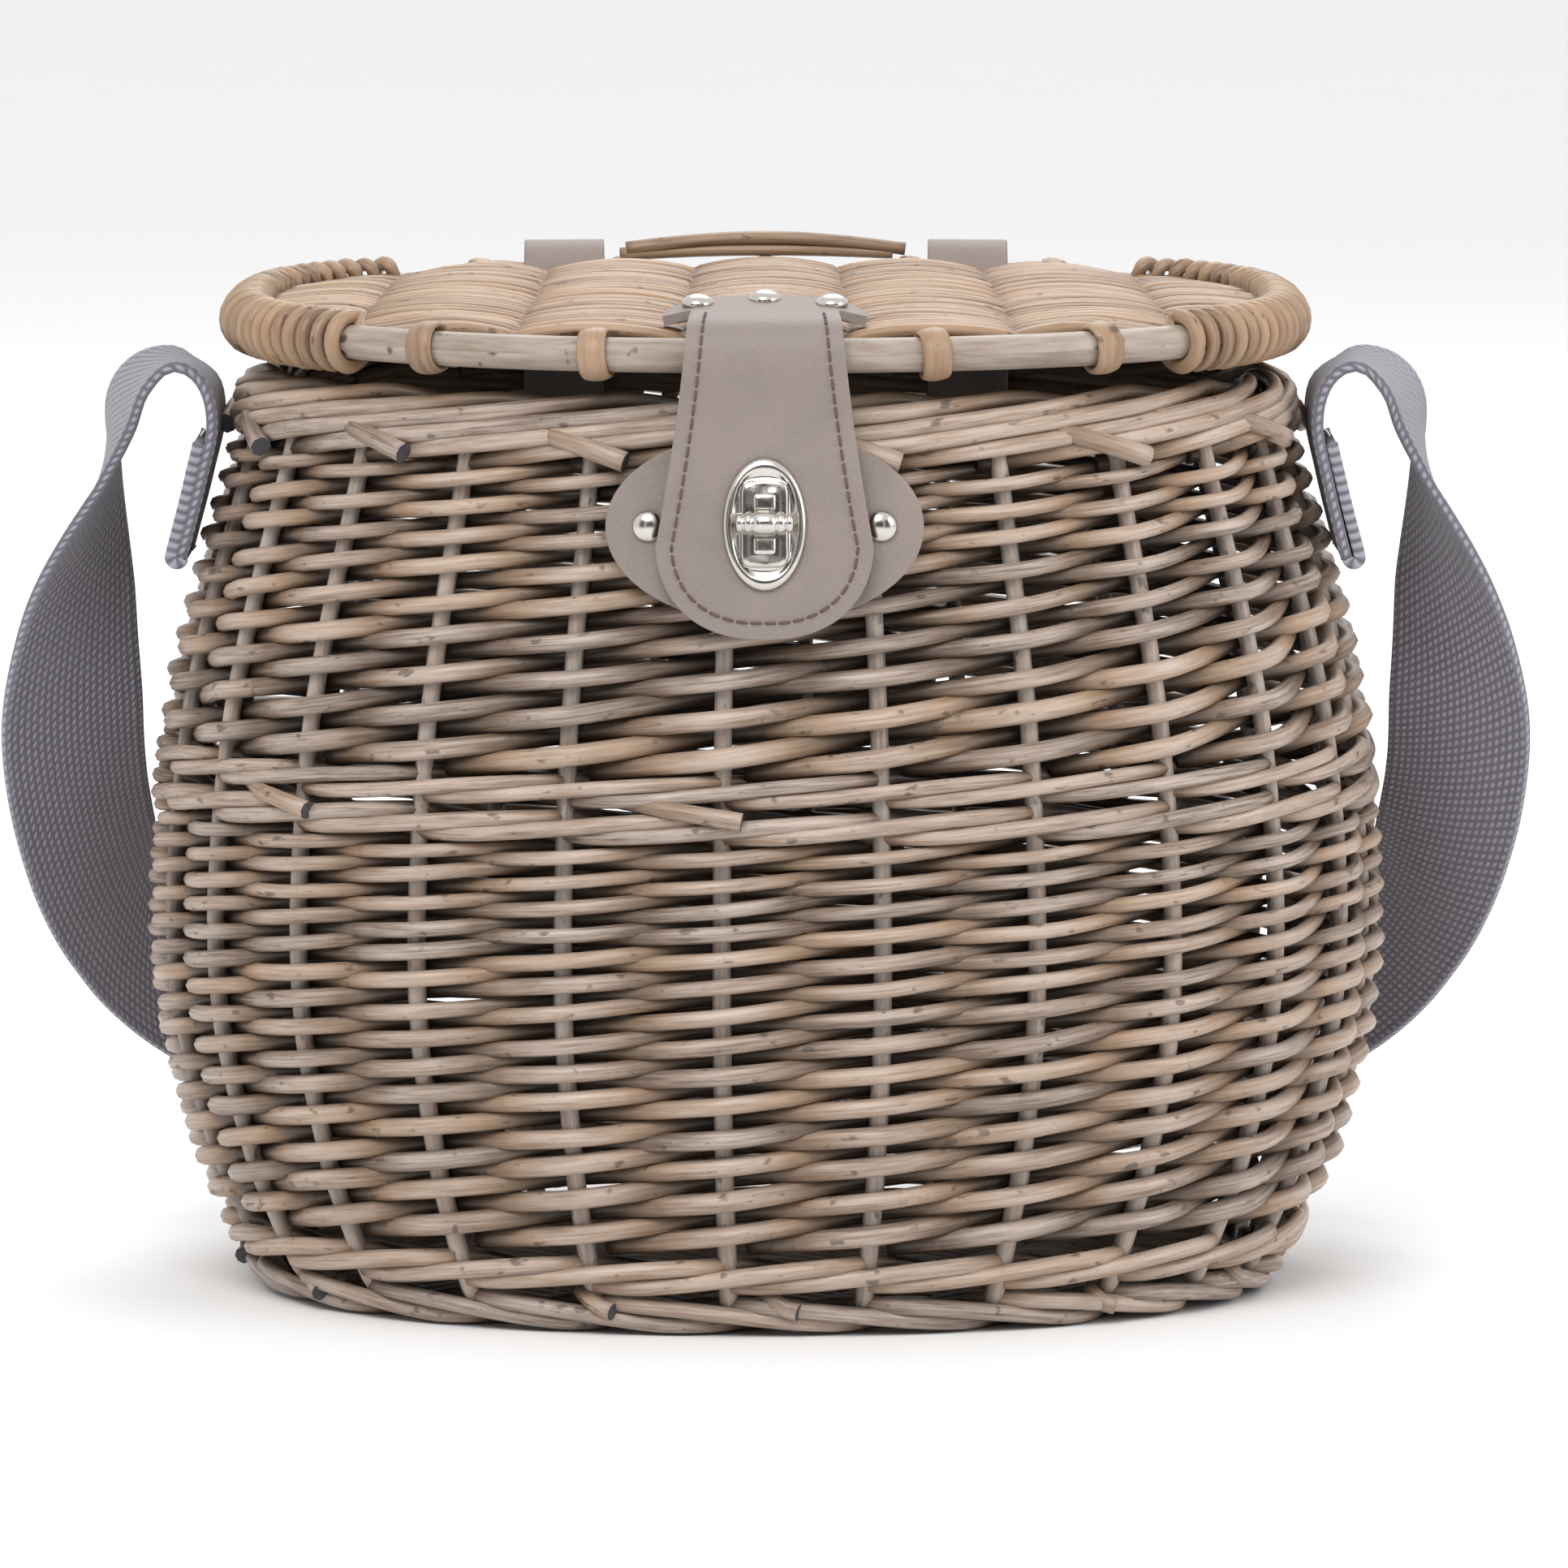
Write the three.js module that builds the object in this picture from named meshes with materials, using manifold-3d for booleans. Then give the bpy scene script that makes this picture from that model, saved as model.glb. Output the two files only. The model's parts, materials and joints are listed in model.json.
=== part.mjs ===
// Oval wicker creel basket with a hinged wicker lid, a leather flap with a turn lock, and a webbing
// shoulder strap. Millimetres, +Z up, +X to the right, the front faces -Y. The origin is at the centre
// of the base, on the surface that the basket stands on.
import * as THREE from 'three';
import { mergeVertices } from 'three/addons/utils/BufferGeometryUtils.js';
import Module from 'manifold-3d';

const wasm = await Module();
wasm.setup();

// ---- Driving dimensions
const GAP = 0.3; // between pieces that touch

const BELLY_LENGTH = 382; // outside of the wall where it is widest, along X
const BELLY_DEPTH = 256; // the same, along Y
const RIM_HEIGHT = 285; // floor to the top of the border
const WALL = 16; // stake with a rod on each side of it
const FRONT_POWER = 2.1; // superellipse powers of the oval: nearly an ellipse in front,
const BACK_POWER = 3; // flatter behind
const RIM_SHARE = 0.843; // the rim's share of the belly size
const WALL_SHAPE = [ // share of the height, share of the belly size
  [0, 0.812], [0.07, 0.878], [0.2, 0.96], [0.42, 1], [0.6, 0.978], [0.83, 0.9], [1, RIM_SHARE],
];
const FOOT_HEIGHT = 25;
const LOWER_WEAVE_HEIGHT = 125;
const MIDDLE_WALE_HEIGHT = 22;
const BORDER_HEIGHT = 23;
const BASE_THICKNESS = 10;
const STAKES = 24;
const STAKE_RADIUS = 2.9;
const STAKE_PHASE = THREE.MathUtils.degToRad(-4); // the first stake stands just left of the lock
const STAKE_FOOT = 4; // floor to a stake's lower end
const STAKE_IN_BORDER = 10;
const BASE_STICKS = 3;
const BASE_STICK_RADIUS = 3;
const BASE_STICK_SPACING = 42;
const BASE_STICK_SETBACK = 2; // from the slab's edge to a stick's end

const HOOP_INSET = 4; // from the rim's outside to the lid hoop's centreline, at each end
const HOOP_LENGTH = BELLY_LENGTH * RIM_SHARE - 2 * HOOP_INSET; // the centreline, along X
const HOOP_DEPTH = BELLY_DEPTH * RIM_SHARE; // the same, along Y
const HOOP_RADIUS = 5.2;
const HOOP_FRONT_RISE = 10; // from the border's top to the hoop's centreline, in front
const HOOP_BACK_RISE = 16; // the same, behind
const LID_UNDER = 4; // the lid weave, below and above the hoop's plane
const LID_EDGE = 6.5;
const LID_CROWN = 8.5;
const WRAP = 3.5; // the weavers that wrap round the hoop's ends
const BARE_RAIL = 240; // the stretch of hoop without them
const LID_STICKS = 5;
const LID_STICK_SPACING = 50; // in front
const LID_STICK_BACK_SPACING = 45; // behind, where the hinge loops pass between the sticks
const LID_STICK_RADIUS = 2.75;
const LOOP_THICKNESS = 2.4; // a stick's end, flattened and wrapped round the hoop
const LOOP_WIDTH = 9;
const BACK_ROD_RADIUS = 2.5;

const LEATHER = 3;
const HINGE_SPACING = 128;
const HINGE_WIDTH = 25;
const HINGE_LEATHER = 2.5;
const HINGE_PLAY = 1.6; // between the leather loop and the border that it holds
const RAIL_PLAY = 3.6; // between the loop and the bowed hoop, which swings in it
const NOTCH_PLAY = 3;
const HEAD_WIDTH = 62;
const HEAD_DEPTH = 34;
const FLAP_TOP_WIDTH = 44;
const FLAP_END_WIDTH = 64;
const FLAP_DROP = 84; // hoop centreline to the flap's rounded end
const PATCH_WIDTH = 98;
const PATCH_HEIGHT = 56;
const PATCH_BELOW_RIM = 40; // border top to the patch's middle
const PLATE_WIDTH = 25;
const PLATE_HEIGHT = 40;
const PLATE_THICKNESS = 1.6;
const SLOT_WIDTH = 10;
const SLOT_HEIGHT = 22;
const SLOT_PLAY = 1.2;
const FRAME_WALL = 1.5;
const BAR_LENGTH = 17;
const BAR_RADIUS = 3.6;
const PIN_RADIUS = 2;
const WASHER_THICKNESS = 0.8;
const RIVET_RADIUS = 4.8;
const RIVET_DOME = 2.6;
const RIVET_SHANK = 1.8;

const STRAP_WIDTH = 50;
const STRAP_THICKNESS = 3;
const STRAP_STEPS = 60;
// The right half of the strap's route: its centreline, and how many degrees its front edge has turned
// outwards and dropped.
const STRAP_ROUTE = [
  [176.8, -8, 227, 0, 0], [170.9, -8, 250, 0, 0], [167.4, -8, 268, 0, 0], [170, -8, 279, 0, 0],
  [179, -8, 285, -8, 0], [189, -7, 281, -14, 0], [197, -5, 270, -15, 0], [203, -1, 248, 2, 0],
  [210, 6, 213, 34, 0], [214, 18, 175, 54, 0], [212, 42, 138, 46, 8], [203, 76, 104, 36, 22],
  [182, 112, 74, 26, 38], [140, 138, 48, 14, 52], [75, 150, 36, 4, 60], [0, 153, 34, 0, 62],
];
const STRAP_RIVETS = [0.65, 1.5]; // in steps of the route, from each end

const WILLOW = { color: 0x8d7761, roughness: 0.75, metalness: 0 };
const PALE_WILLOW = { color: 0xb79670, roughness: 0.7, metalness: 0 };
const GREY_WILLOW = { color: 0xa99a8c, roughness: 0.7, metalness: 0 };
const HIDE = { color: 0x96897f, roughness: 0.55, metalness: 0 };
const NICKEL = { color: 0xc9c6bf, roughness: 0.2, metalness: 1 };
const WEBBING = { color: 0x8e8f9b, roughness: 0.9, metalness: 0 };

const group = new THREE.Group();

// ---- Solids
function solidOf(geometry) {
  const bare = geometry.clone();
  for (const name of ['normal', 'uv']) bare.deleteAttribute(name);
  const merged = mergeVertices(bare, 1e-4);
  return new wasm.Manifold(new wasm.Mesh({
    numProp: 3,
    vertProperties: merged.attributes.position.array,
    triVerts: new Uint32Array(merged.index.array),
  }));
}

function addPiece(name, solid, look) {
  const mesh = solid.getMesh();
  const geometry = new THREE.BufferGeometry();
  geometry.setAttribute('position', new THREE.BufferAttribute(mesh.vertProperties, 3));
  geometry.setIndex(new THREE.BufferAttribute(mesh.triVerts, 1));
  geometry.computeVertexNormals();
  const piece = new THREE.Mesh(geometry, new THREE.MeshStandardMaterial(look));
  piece.name = name;
  group.add(piece);
}

// Moves every corner of a geometry to where place(x, y, z) says.
function bent(geometry, place) {
  const at = geometry.attributes.position;
  for (let i = 0; i < at.count; i += 1) {
    at.setXYZ(i, ...place(at.getX(i), at.getY(i), at.getZ(i)));
  }
  return geometry;
}

function cutBy(solid, tools) {
  return tools.reduce((left, tool) => left.subtract(tool), solid);
}

// ---- The oval plan: angle 0 is the front, and it turns towards +X
function oval(angle, halfLength, halfDepth) {
  const [across, ahead] = [Math.sin(angle), Math.cos(angle)];
  const power = ahead > 0 ? FRONT_POWER : BACK_POWER;
  const reach = (Math.abs(across) ** power + Math.abs(ahead) ** power) ** (-1 / power);
  return [halfLength * reach * across, -halfDepth * reach * ahead];
}

function shareAt(z) {
  const height = THREE.MathUtils.clamp(z / RIM_HEIGHT, 0, 1);
  const upper = Math.max(1, WALL_SHAPE.findIndex(([level]) => level >= height));
  const [low, high] = [WALL_SHAPE[upper - 1], WALL_SHAPE[upper]];
  return THREE.MathUtils.mapLinear(height, low[0], high[0], low[1], high[1]);
}

function wallPoint(angle, z, inset) {
  const share = shareAt(z) / 2;
  return [...oval(angle, BELLY_LENGTH * share - inset, BELLY_DEPTH * share - inset), z];
}

function hoopZ(y) {
  const share = (y + HOOP_DEPTH / 2) / HOOP_DEPTH;
  return RIM_HEIGHT + THREE.MathUtils.lerp(HOOP_FRONT_RISE, HOOP_BACK_RISE, share);
}

function hoopPoint(angle, outset, rise) {
  const [x, y] = oval(angle, HOOP_LENGTH / 2 + outset, HOOP_DEPTH / 2 + outset);
  return [x, y, hoopZ(y) + rise];
}

// The angle at which the hoop passes x, in front or behind.
function hoopAngle(x, behind) {
  const power = behind ? BACK_POWER : FRONT_POWER;
  const across = (2 * Math.abs(x)) / HOOP_LENGTH;
  const angle = Math.atan2(across, (1 - across ** power) ** (1 / power));
  return (x < 0 ? -1 : 1) * (behind ? Math.PI - angle : angle);
}

// A closed ring or disc round the oval, from a profile of [outset, height] points. A point with no
// outset is on the vertical axis.
const FAR = 1000;
function ovalSolid(profile, segments, place) {
  const radii = profile.map(([outset, z]) => new THREE.Vector2(outset === null ? 0 : FAR + outset, z));
  return solidOf(bent(new THREE.LatheGeometry(radii, segments), (x, y, z) => {
    const radius = Math.hypot(x, z);
    return radius < 1 ? place(null, 0, y) : place(Math.atan2(x, z), radius - FAR, y);
  }));
}

function onWall(angle, outset, z) {
  return angle === null ? [0, 0, z] : wallPoint(angle, z, -outset);
}

function onHoop(angle, outset, rise) {
  return angle === null ? [0, 0, hoopZ(0) + rise] : hoopPoint(angle, outset, rise);
}

// A straight rod between two points.
function rod(from, to, radius, sides = 8) {
  const [a, b] = [new THREE.Vector3(...from), new THREE.Vector3(...to)];
  const along = b.clone().sub(a);
  const geometry = new THREE.CylinderGeometry(radius, radius, along.length(), sides);
  const turn = new THREE.Quaternion().setFromUnitVectors(new THREE.Vector3(0, 1, 0), along.normalize());
  geometry.applyQuaternion(turn).translate(...a.add(b).multiplyScalar(0.5));
  return solidOf(geometry);
}

function curvedRod(points, radius, steps, sides) {
  const section = new THREE.Shape();
  for (let i = 0; i < sides; i += 1) {
    const angle = (2 * Math.PI * i) / sides;
    section[i ? 'lineTo' : 'moveTo'](radius * Math.cos(angle), radius * Math.sin(angle));
  }
  const extrudePath = new THREE.CatmullRomCurve3(points.map((point) => new THREE.Vector3(...point)));
  return solidOf(new THREE.ExtrudeGeometry(section, { steps, extrudePath, bevelEnabled: false }));
}

// ---- Wall: stakes in the rings of weave that they run through
const WALL_SEGMENTS = 40;
const LOWER_TOP = FOOT_HEIGHT + LOWER_WEAVE_HEIGHT;
const WALE_TOP = LOWER_TOP + MIDDLE_WALE_HEIGHT;
const UPPER_TOP = RIM_HEIGHT - BORDER_HEIGHT;

function wallRing(low, high) {
  const levels = WALL_SHAPE.map(([share]) => share * RIM_HEIGHT).filter((z) => z > low + 2 && z < high - 2);
  const rows = [low, ...levels, high];
  const outside = rows.map((z) => [0, z]);
  const inside = rows.map((z) => [-WALL, z]).reverse();
  return ovalSolid([...outside, ...inside, outside[0]], WALL_SEGMENTS, onWall);
}

function stake(index, clearance) {
  const angle = STAKE_PHASE + (2 * Math.PI * index) / STAKES;
  const low = STAKE_FOOT - clearance;
  const [x, y] = wallPoint(angle, UPPER_TOP, WALL / 2);
  const hinged = y > 0 && Math.abs(Math.abs(x) - HINGE_SPACING / 2) < HINGE_WIDTH / 2 + 2 * STAKE_RADIUS;
  const top = hinged ? UPPER_TOP - HINGE_PLAY - HINGE_LEATHER - 3 * GAP : UPPER_TOP + STAKE_IN_BORDER;
  const high = top + clearance / 2;
  const rows = [0, 0.12, 0.3, 0.55, 0.8, 1].map((share) => THREE.MathUtils.lerp(low, high, share));
  const path = rows.map((z) => wallPoint(angle, z, WALL / 2));
  return curvedRod(path, STAKE_RADIUS + clearance, 6, 6);
}

// ---- Leather hinge loops: each is a band round the hoop and the border
function hingeAngle(side) {
  return hoopAngle((side * HINGE_SPACING) / 2, true);
}

// The outline of a band drawn tight round circles of [y, z, radius], listed anticlockwise.
function bandOutline(circles, outset) {
  const outline = new THREE.Path();
  const normals = circles.map(([y, z, radius], i) => {
    const [nextY, nextZ, nextRadius] = circles[(i + 1) % circles.length];
    const length = Math.hypot(nextY - y, nextZ - z);
    return Math.atan2(nextZ - z, nextY - y) - Math.acos((radius - nextRadius) / length);
  });
  circles.forEach(([y, z, radius], i) => {
    const from = normals.at(i - 1);
    let to = normals[i];
    while (to < from) to += 2 * Math.PI;
    const steps = Math.max(1, Math.ceil((to - from) / 0.5));
    for (let k = 0; k <= steps; k += 1) {
      const angle = from + ((to - from) * k) / steps;
      const [py, pz] = [y + (radius + outset) * Math.cos(angle), z + (radius + outset) * Math.sin(angle)];
      outline[i || k ? 'lineTo' : 'moveTo'](py, pz);
    }
  });
  return outline;
}

// Extrudes an outline in the upright plane that faces along the hoop at a hinge.
function acrossHoop(shape, width, side) {
  const [x, y] = hoopPoint(hingeAngle(side), 0, 0);
  const geometry = new THREE.ExtrudeGeometry(shape, { depth: width, bevelEnabled: false });
  geometry.translate(0, 0, -width / 2);
  geometry.rotateZ(Math.PI / 2).rotateY(Math.PI / 2);
  const [ax, ay] = hoopPoint(hingeAngle(side) - 0.05, 0, 0);
  const [bx, by] = hoopPoint(hingeAngle(side) + 0.05, 0, 0);
  geometry.rotateZ(Math.atan2(ay - by, ax - bx));
  return solidOf(geometry.translate(x, y, 0));
}

function hingeCircles(side) {
  const angle = hingeAngle(side);
  const [, y] = hoopPoint(angle, 0, 0);
  const face = (z) => wallPoint(angle, z, 0)[1] - y;
  const corner = 2;
  const outer = face(RIM_HEIGHT - BORDER_HEIGHT / 2);
  const inner = outer - WALL;
  return [
    [inner + corner, UPPER_TOP + corner, corner + HINGE_PLAY],
    [outer - corner, UPPER_TOP + corner, corner + HINGE_PLAY],
    [0, hoopZ(y), HOOP_RADIUS + RAIL_PLAY],
    [inner + 2 * corner, RIM_HEIGHT - 2 * corner, 2 * corner + HINGE_PLAY],
  ];
}

function hingeLoop(side) {
  const circles = hingeCircles(side);
  const shape = new THREE.Shape(bandOutline(circles, HINGE_LEATHER).getPoints());
  shape.holes.push(bandOutline(circles, 0));
  return acrossHoop(shape, HINGE_WIDTH, side);
}

function hingeRoom(side, clearance) {
  const shape = new THREE.Shape(bandOutline(hingeCircles(side), HINGE_LEATHER + clearance).getPoints());
  return acrossHoop(shape, HINGE_WIDTH + 2 * clearance, side);
}

// The loop with clearance all round it, but not the border that it holds.
function hingeChannel(side, clearance) {
  const shape = new THREE.Shape(bandOutline(hingeCircles(side), HINGE_LEATHER + clearance).getPoints());
  shape.holes.push(bandOutline(hingeCircles(side), -clearance));
  return acrossHoop(shape, HINGE_WIDTH + 2 * clearance, side);
}

function addWall() {
  const channels = Array.from({ length: STAKES }, (_, i) => stake(i, GAP));
  const ring = (low, high) => cutBy(wallRing(low, high), channels);
  const slots = [-1, 1].map((side) => hingeChannel(side, GAP));
  addPiece('foot_wale', ring(0, FOOT_HEIGHT - GAP), WILLOW);
  addPiece('lower_wall_weave', ring(FOOT_HEIGHT, LOWER_TOP - GAP), WILLOW);
  addPiece('middle_wale', ring(LOWER_TOP, WALE_TOP - GAP), WILLOW);
  addPiece('upper_wall_weave', cutBy(ring(WALE_TOP, UPPER_TOP - GAP), slots), WILLOW);
  addPiece('rim_border', cutBy(ring(UPPER_TOP, RIM_HEIGHT), slots), WILLOW);
  for (let i = 0; i < STAKES; i += 1) {
    addPiece(`stake_${String(i + 1).padStart(2, '0')}`, stake(i, 0), WILLOW);
  }
}

// ---- Base: long sticks through a woven oval
function baseStick(index, clearance) {
  const y = (index - (BASE_STICKS - 1) / 2) * BASE_STICK_SPACING;
  const power = y > 0 ? BACK_POWER : FRONT_POWER;
  const [halfLength, halfDepth] = [BELLY_LENGTH, BELLY_DEPTH].map((side) => (side * shareAt(0)) / 2 - WALL);
  const reach = halfLength * (1 - Math.abs(y / halfDepth) ** power) ** (1 / power);
  const end = reach - BASE_STICK_SETBACK + (clearance > 0 ? WALL : 0);
  const z = BASE_THICKNESS / 2;
  return rod([-end, y, z], [end, y, z], BASE_STICK_RADIUS + clearance);
}

function addBase() {
  const edge = -WALL - GAP;
  const profile = [[null, 0], [edge, 0], [edge, BASE_THICKNESS], [null, BASE_THICKNESS]];
  const slab = ovalSolid(profile, WALL_SEGMENTS, onWall);
  const sticks = Array.from({ length: BASE_STICKS }, (_, i) => i);
  addPiece('base_weave', cutBy(slab, sticks.map((i) => baseStick(i, GAP))), WILLOW);
  sticks.forEach((i) => addPiece(`base_stick_${i + 1}`, baseStick(i, 0), WILLOW));
}

// ---- Lid
const HOOP_SEGMENTS = 48;

function hoopTube(radius, segments = HOOP_SEGMENTS) {
  const sides = 8;
  const profile = Array.from({ length: sides + 1 }, (_, i) => {
    const angle = (2 * Math.PI * (i % sides)) / sides;
    return [radius * Math.cos(angle), radius * Math.sin(angle)];
  });
  return ovalSolid(profile, segments, onHoop);
}

function hoopCollar(angle, radius, width) {
  const [from, to] = [-0.5, 0.5].map((share) => {
    const turn = (share * width) / (HOOP_LENGTH / 2);
    return hoopPoint(angle + turn, 0, 0);
  });
  const middle = new THREE.Vector3(...from).add(new THREE.Vector3(...to)).multiplyScalar(0.5);
  const half = new THREE.Vector3(...to).sub(new THREE.Vector3(...from)).setLength(width / 2);
  return rod(middle.clone().sub(half).toArray(), middle.clone().add(half).toArray(), radius, 12);
}

function lidStick(index, clearance) {
  const step = index - (LID_STICKS - 1) / 2;
  const front = hoopAngle(step * LID_STICK_SPACING, false);
  const back = hoopAngle(step * LID_STICK_BACK_SPACING, true);
  const collarRadius = HOOP_RADIUS + GAP + LOOP_THICKNESS + clearance;
  const collars = [front, back].map((angle) => hoopCollar(angle, collarRadius, LOOP_WIDTH + 2 * clearance));
  const [near, far] = [front, back].map((angle) => hoopPoint(angle, -HOOP_RADIUS - 1, 1));
  return collars[0].add(collars[1]).add(rod(near, far, LID_STICK_RADIUS + clearance));
}

function backRod() {
  const reach = LID_STICK_BACK_SPACING - LOOP_WIDTH / 2 - BACK_ROD_RADIUS;
  const over = HOOP_RADIUS + GAP + LOOP_THICKNESS + BACK_ROD_RADIUS + 0.6;
  const points = [-1, -0.45, 0, 0.45, 1].map((share) => {
    const [x, y] = hoopPoint(Math.PI - Math.atan((2 * share * reach) / HOOP_LENGTH), 0, 0);
    return [x, y, hoopZ(y) + over - 2.2 * share * share];
  });
  return curvedRod(points, BACK_ROD_RADIUS, 8, 6);
}

function lidWeave(sticks, channel) {
  const edge = -HOOP_RADIUS - 2 * GAP;
  const profile = [[null, -LID_UNDER], [edge, -LID_UNDER], [edge, LID_EDGE], [null, LID_CROWN]];
  const bare = new THREE.BoxGeometry(BARE_RAIL, 2 * HOOP_DEPTH, 4 * RIM_HEIGHT);
  const wraps = hoopTube(HOOP_RADIUS + GAP + WRAP).subtract(solidOf(bare));
  const rooms = [-1, 1].map((side) => hingeRoom(side, NOTCH_PLAY));
  const ends = ovalSolid(profile, HOOP_SEGMENTS, onHoop).add(wraps);
  return cutBy(ends, [channel, ...sticks, ...rooms]);
}

function addLid() {
  const channel = hoopTube(HOOP_RADIUS + GAP);
  const sticks = Array.from({ length: LID_STICKS }, (_, i) => i);
  addPiece('lid_hoop', hoopTube(HOOP_RADIUS), GREY_WILLOW);
  addPiece('lid_weave', lidWeave(sticks.map((i) => lidStick(i, GAP)), channel), PALE_WILLOW);
  sticks.forEach((i) => addPiece(`lid_stick_${i + 1}`, lidStick(i, 0).subtract(channel), PALE_WILLOW));
  addPiece('lid_back_rod', backRod(), PALE_WILLOW);
  addPiece('hinge_strap_left', hingeLoop(-1), HIDE);
  addPiece('hinge_strap_right', hingeLoop(1), HIDE);
}

// ---- Leather patch, flap and lock. They share the upright plane x = 0 in front.
const PATCH_Z = RIM_HEIGHT - PATCH_BELOW_RIM;
const FRONT_HOOP = { y: -HOOP_DEPTH / 2, z: RIM_HEIGHT + HOOP_FRONT_RISE };
const BEND_INSIDE = HOOP_RADIUS + GAP + LOOP_THICKNESS + 0.5;
const BEND_OUTSIDE = BEND_INSIDE + LEATHER;
const FLAP_START = THREE.MathUtils.degToRad(135); // where the flap leaves the lid's part of the bend
const HEAD_STOP = 0.16; // radians of the bend left free between the head and the flap
const PATCH_OUTSET = 2 * GAP + WASHER_THICKNESS;

// A grid of x across, y up and z out becomes a sheet that lies on the front wall.
function onFront(x, y, z) {
  const height = PATCH_Z + y;
  const halfLength = (BELLY_LENGTH * shareAt(height)) / 2 + z;
  const angle = Math.atan(x / halfLength);
  return wallPoint(angle, height, -z);
}

function roundedSheet(width, height, low, high, columns, rows) {
  const box = new THREE.BoxGeometry(2, 2, high - low, columns, rows, 1);
  return bent(box, (x, y, z) => [
    (x * Math.sqrt(1 - (y * y) / 2) * width) / 2,
    (y * Math.sqrt(1 - (x * x) / 2) * height) / 2,
    z + (low + high) / 2,
  ]);
}

// The lock stands square to the wall at the patch's middle, in its own frame: x across, y up, z out.
function lockFrame() {
  const [low, high] = [onFront(0, -8, 0), onFront(0, 8, 0)].map((point) => new THREE.Vector3(...point));
  const up = high.sub(low).normalize();
  const out = new THREE.Vector3(1, 0, 0).cross(up);
  const frame = new THREE.Matrix4().makeBasis(new THREE.Vector3(1, 0, 0), up, out);
  return frame.setPosition(...onFront(0, 0, 0));
}

function onLock(geometry) {
  return solidOf(geometry.applyMatrix4(lockFrame()));
}

function box(width, height, low, high) {
  return new THREE.BoxGeometry(width, height, high - low).translate(0, 0, (low + high) / 2);
}

function pin(radius, low, high, sides = 16) {
  const geometry = new THREE.CylinderGeometry(radius, radius, high - low, sides).rotateX(Math.PI / 2);
  return geometry.translate(0, 0, (low + high) / 2);
}

// A domed rivet along +Z: its head sits on z = 0 and its shank reaches down.
function rivet(shank) {
  const dome = [1, 0.86, 0.5].map((share) => new THREE.Vector2(
    RIVET_RADIUS * share,
    0.6 + (RIVET_DOME - 0.6) * Math.sqrt(1 - share * share),
  ));
  const profile = [
    new THREE.Vector2(0, -shank), new THREE.Vector2(RIVET_SHANK, -shank),
    new THREE.Vector2(RIVET_SHANK, 0), new THREE.Vector2(RIVET_RADIUS, 0), ...dome,
    new THREE.Vector2(0, RIVET_DOME),
  ];
  return new THREE.LatheGeometry(profile, 12).rotateX(Math.PI / 2);
}

const PATCH_TOP = PATCH_OUTSET + LEATHER;
const FLAP_UNDER = PATCH_TOP + 2.6; // room for the patch's curve below the flap
const BASE_TOP = FLAP_UNDER + LEATHER + PLATE_THICKNESS + 1.4;

function patchRivetAt(side) {
  const x = side * (PATCH_WIDTH / 2 - 14);
  const [a, b] = [onFront(x - 3, 0, PATCH_TOP), onFront(x + 3, 0, PATCH_TOP)];
  const along = new THREE.Vector3(...b).sub(new THREE.Vector3(...a)).normalize();
  const up = new THREE.Vector3().setFromMatrixColumn(lockFrame(), 1);
  const out = along.clone().cross(up).normalize();
  const frame = new THREE.Matrix4().makeBasis(along, out.clone().cross(along), out);
  const seat = new THREE.Vector3(...onFront(x, 0, PATCH_TOP)).addScaledVector(out, GAP);
  return frame.setPosition(seat);
}

function addPatch() {
  const hole = (side) => solidOf(pin(RIVET_SHANK + GAP, -8, 4).applyMatrix4(patchRivetAt(side)));
  const sheet = roundedSheet(PATCH_WIDTH, PATCH_HEIGHT, PATCH_OUTSET, PATCH_TOP, 12, 6);
  addPiece('front_patch', cutBy(solidOf(bent(sheet, onFront)), [hole(-1), hole(1)]), HIDE);
  const washer = new THREE.BoxGeometry(16, 26, WASHER_THICKNESS, 4, 2, 1);
  washer.translate(0, 0, GAP + WASHER_THICKNESS / 2);
  addPiece('lock_back_plate', solidOf(bent(washer, onFront)), NICKEL);
  for (const [name, side] of [['left', -1], ['right', 1]]) {
    const seated = rivet(LEATHER).applyMatrix4(patchRivetAt(side));
    addPiece(`patch_rivet_${name}`, solidOf(seated), NICKEL);
  }
}

function addLock() {
  const post = [SLOT_WIDTH - 2 * SLOT_PLAY, SLOT_HEIGHT - 2 * SLOT_PLAY];
  const hole = onLock(pin(PIN_RADIUS + GAP, BASE_TOP - 4 - GAP, BASE_TOP + 1));
  const base = onLock(box(...post, PATCH_TOP + 2 * GAP, BASE_TOP));
  addPiece('lock_base', base.subtract(hole), NICKEL);
  const middle = BASE_TOP + GAP + BAR_RADIUS;
  const barrel = new THREE.CylinderGeometry(BAR_RADIUS, BAR_RADIUS, BAR_LENGTH, 16).rotateZ(Math.PI / 2);
  const bar = onLock(barrel.translate(0, 0, middle)).add(onLock(pin(PIN_RADIUS, BASE_TOP - 4, middle)));
  addPiece('lock_bar', bar, NICKEL);
}

// The slotted oval plate that is fixed to the flap, with a raised frame round its slot.
function addPlate() {
  const low = FLAP_UNDER + LEATHER + GAP;
  const plate = onLock(roundedSheet(PLATE_WIDTH, PLATE_HEIGHT, low, low + PLATE_THICKNESS, 8, 8));
  const rim = [SLOT_WIDTH + 2 * FRAME_WALL, SLOT_HEIGHT + 2 * FRAME_WALL];
  const frame = onLock(box(...rim, low, low + PLATE_THICKNESS + 0.6));
  const slot = onLock(box(SLOT_WIDTH, SLOT_HEIGHT, low - 5, low + 5));
  addPiece('lock_plate', plate.add(frame).subtract(slot), NICKEL);
}

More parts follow.
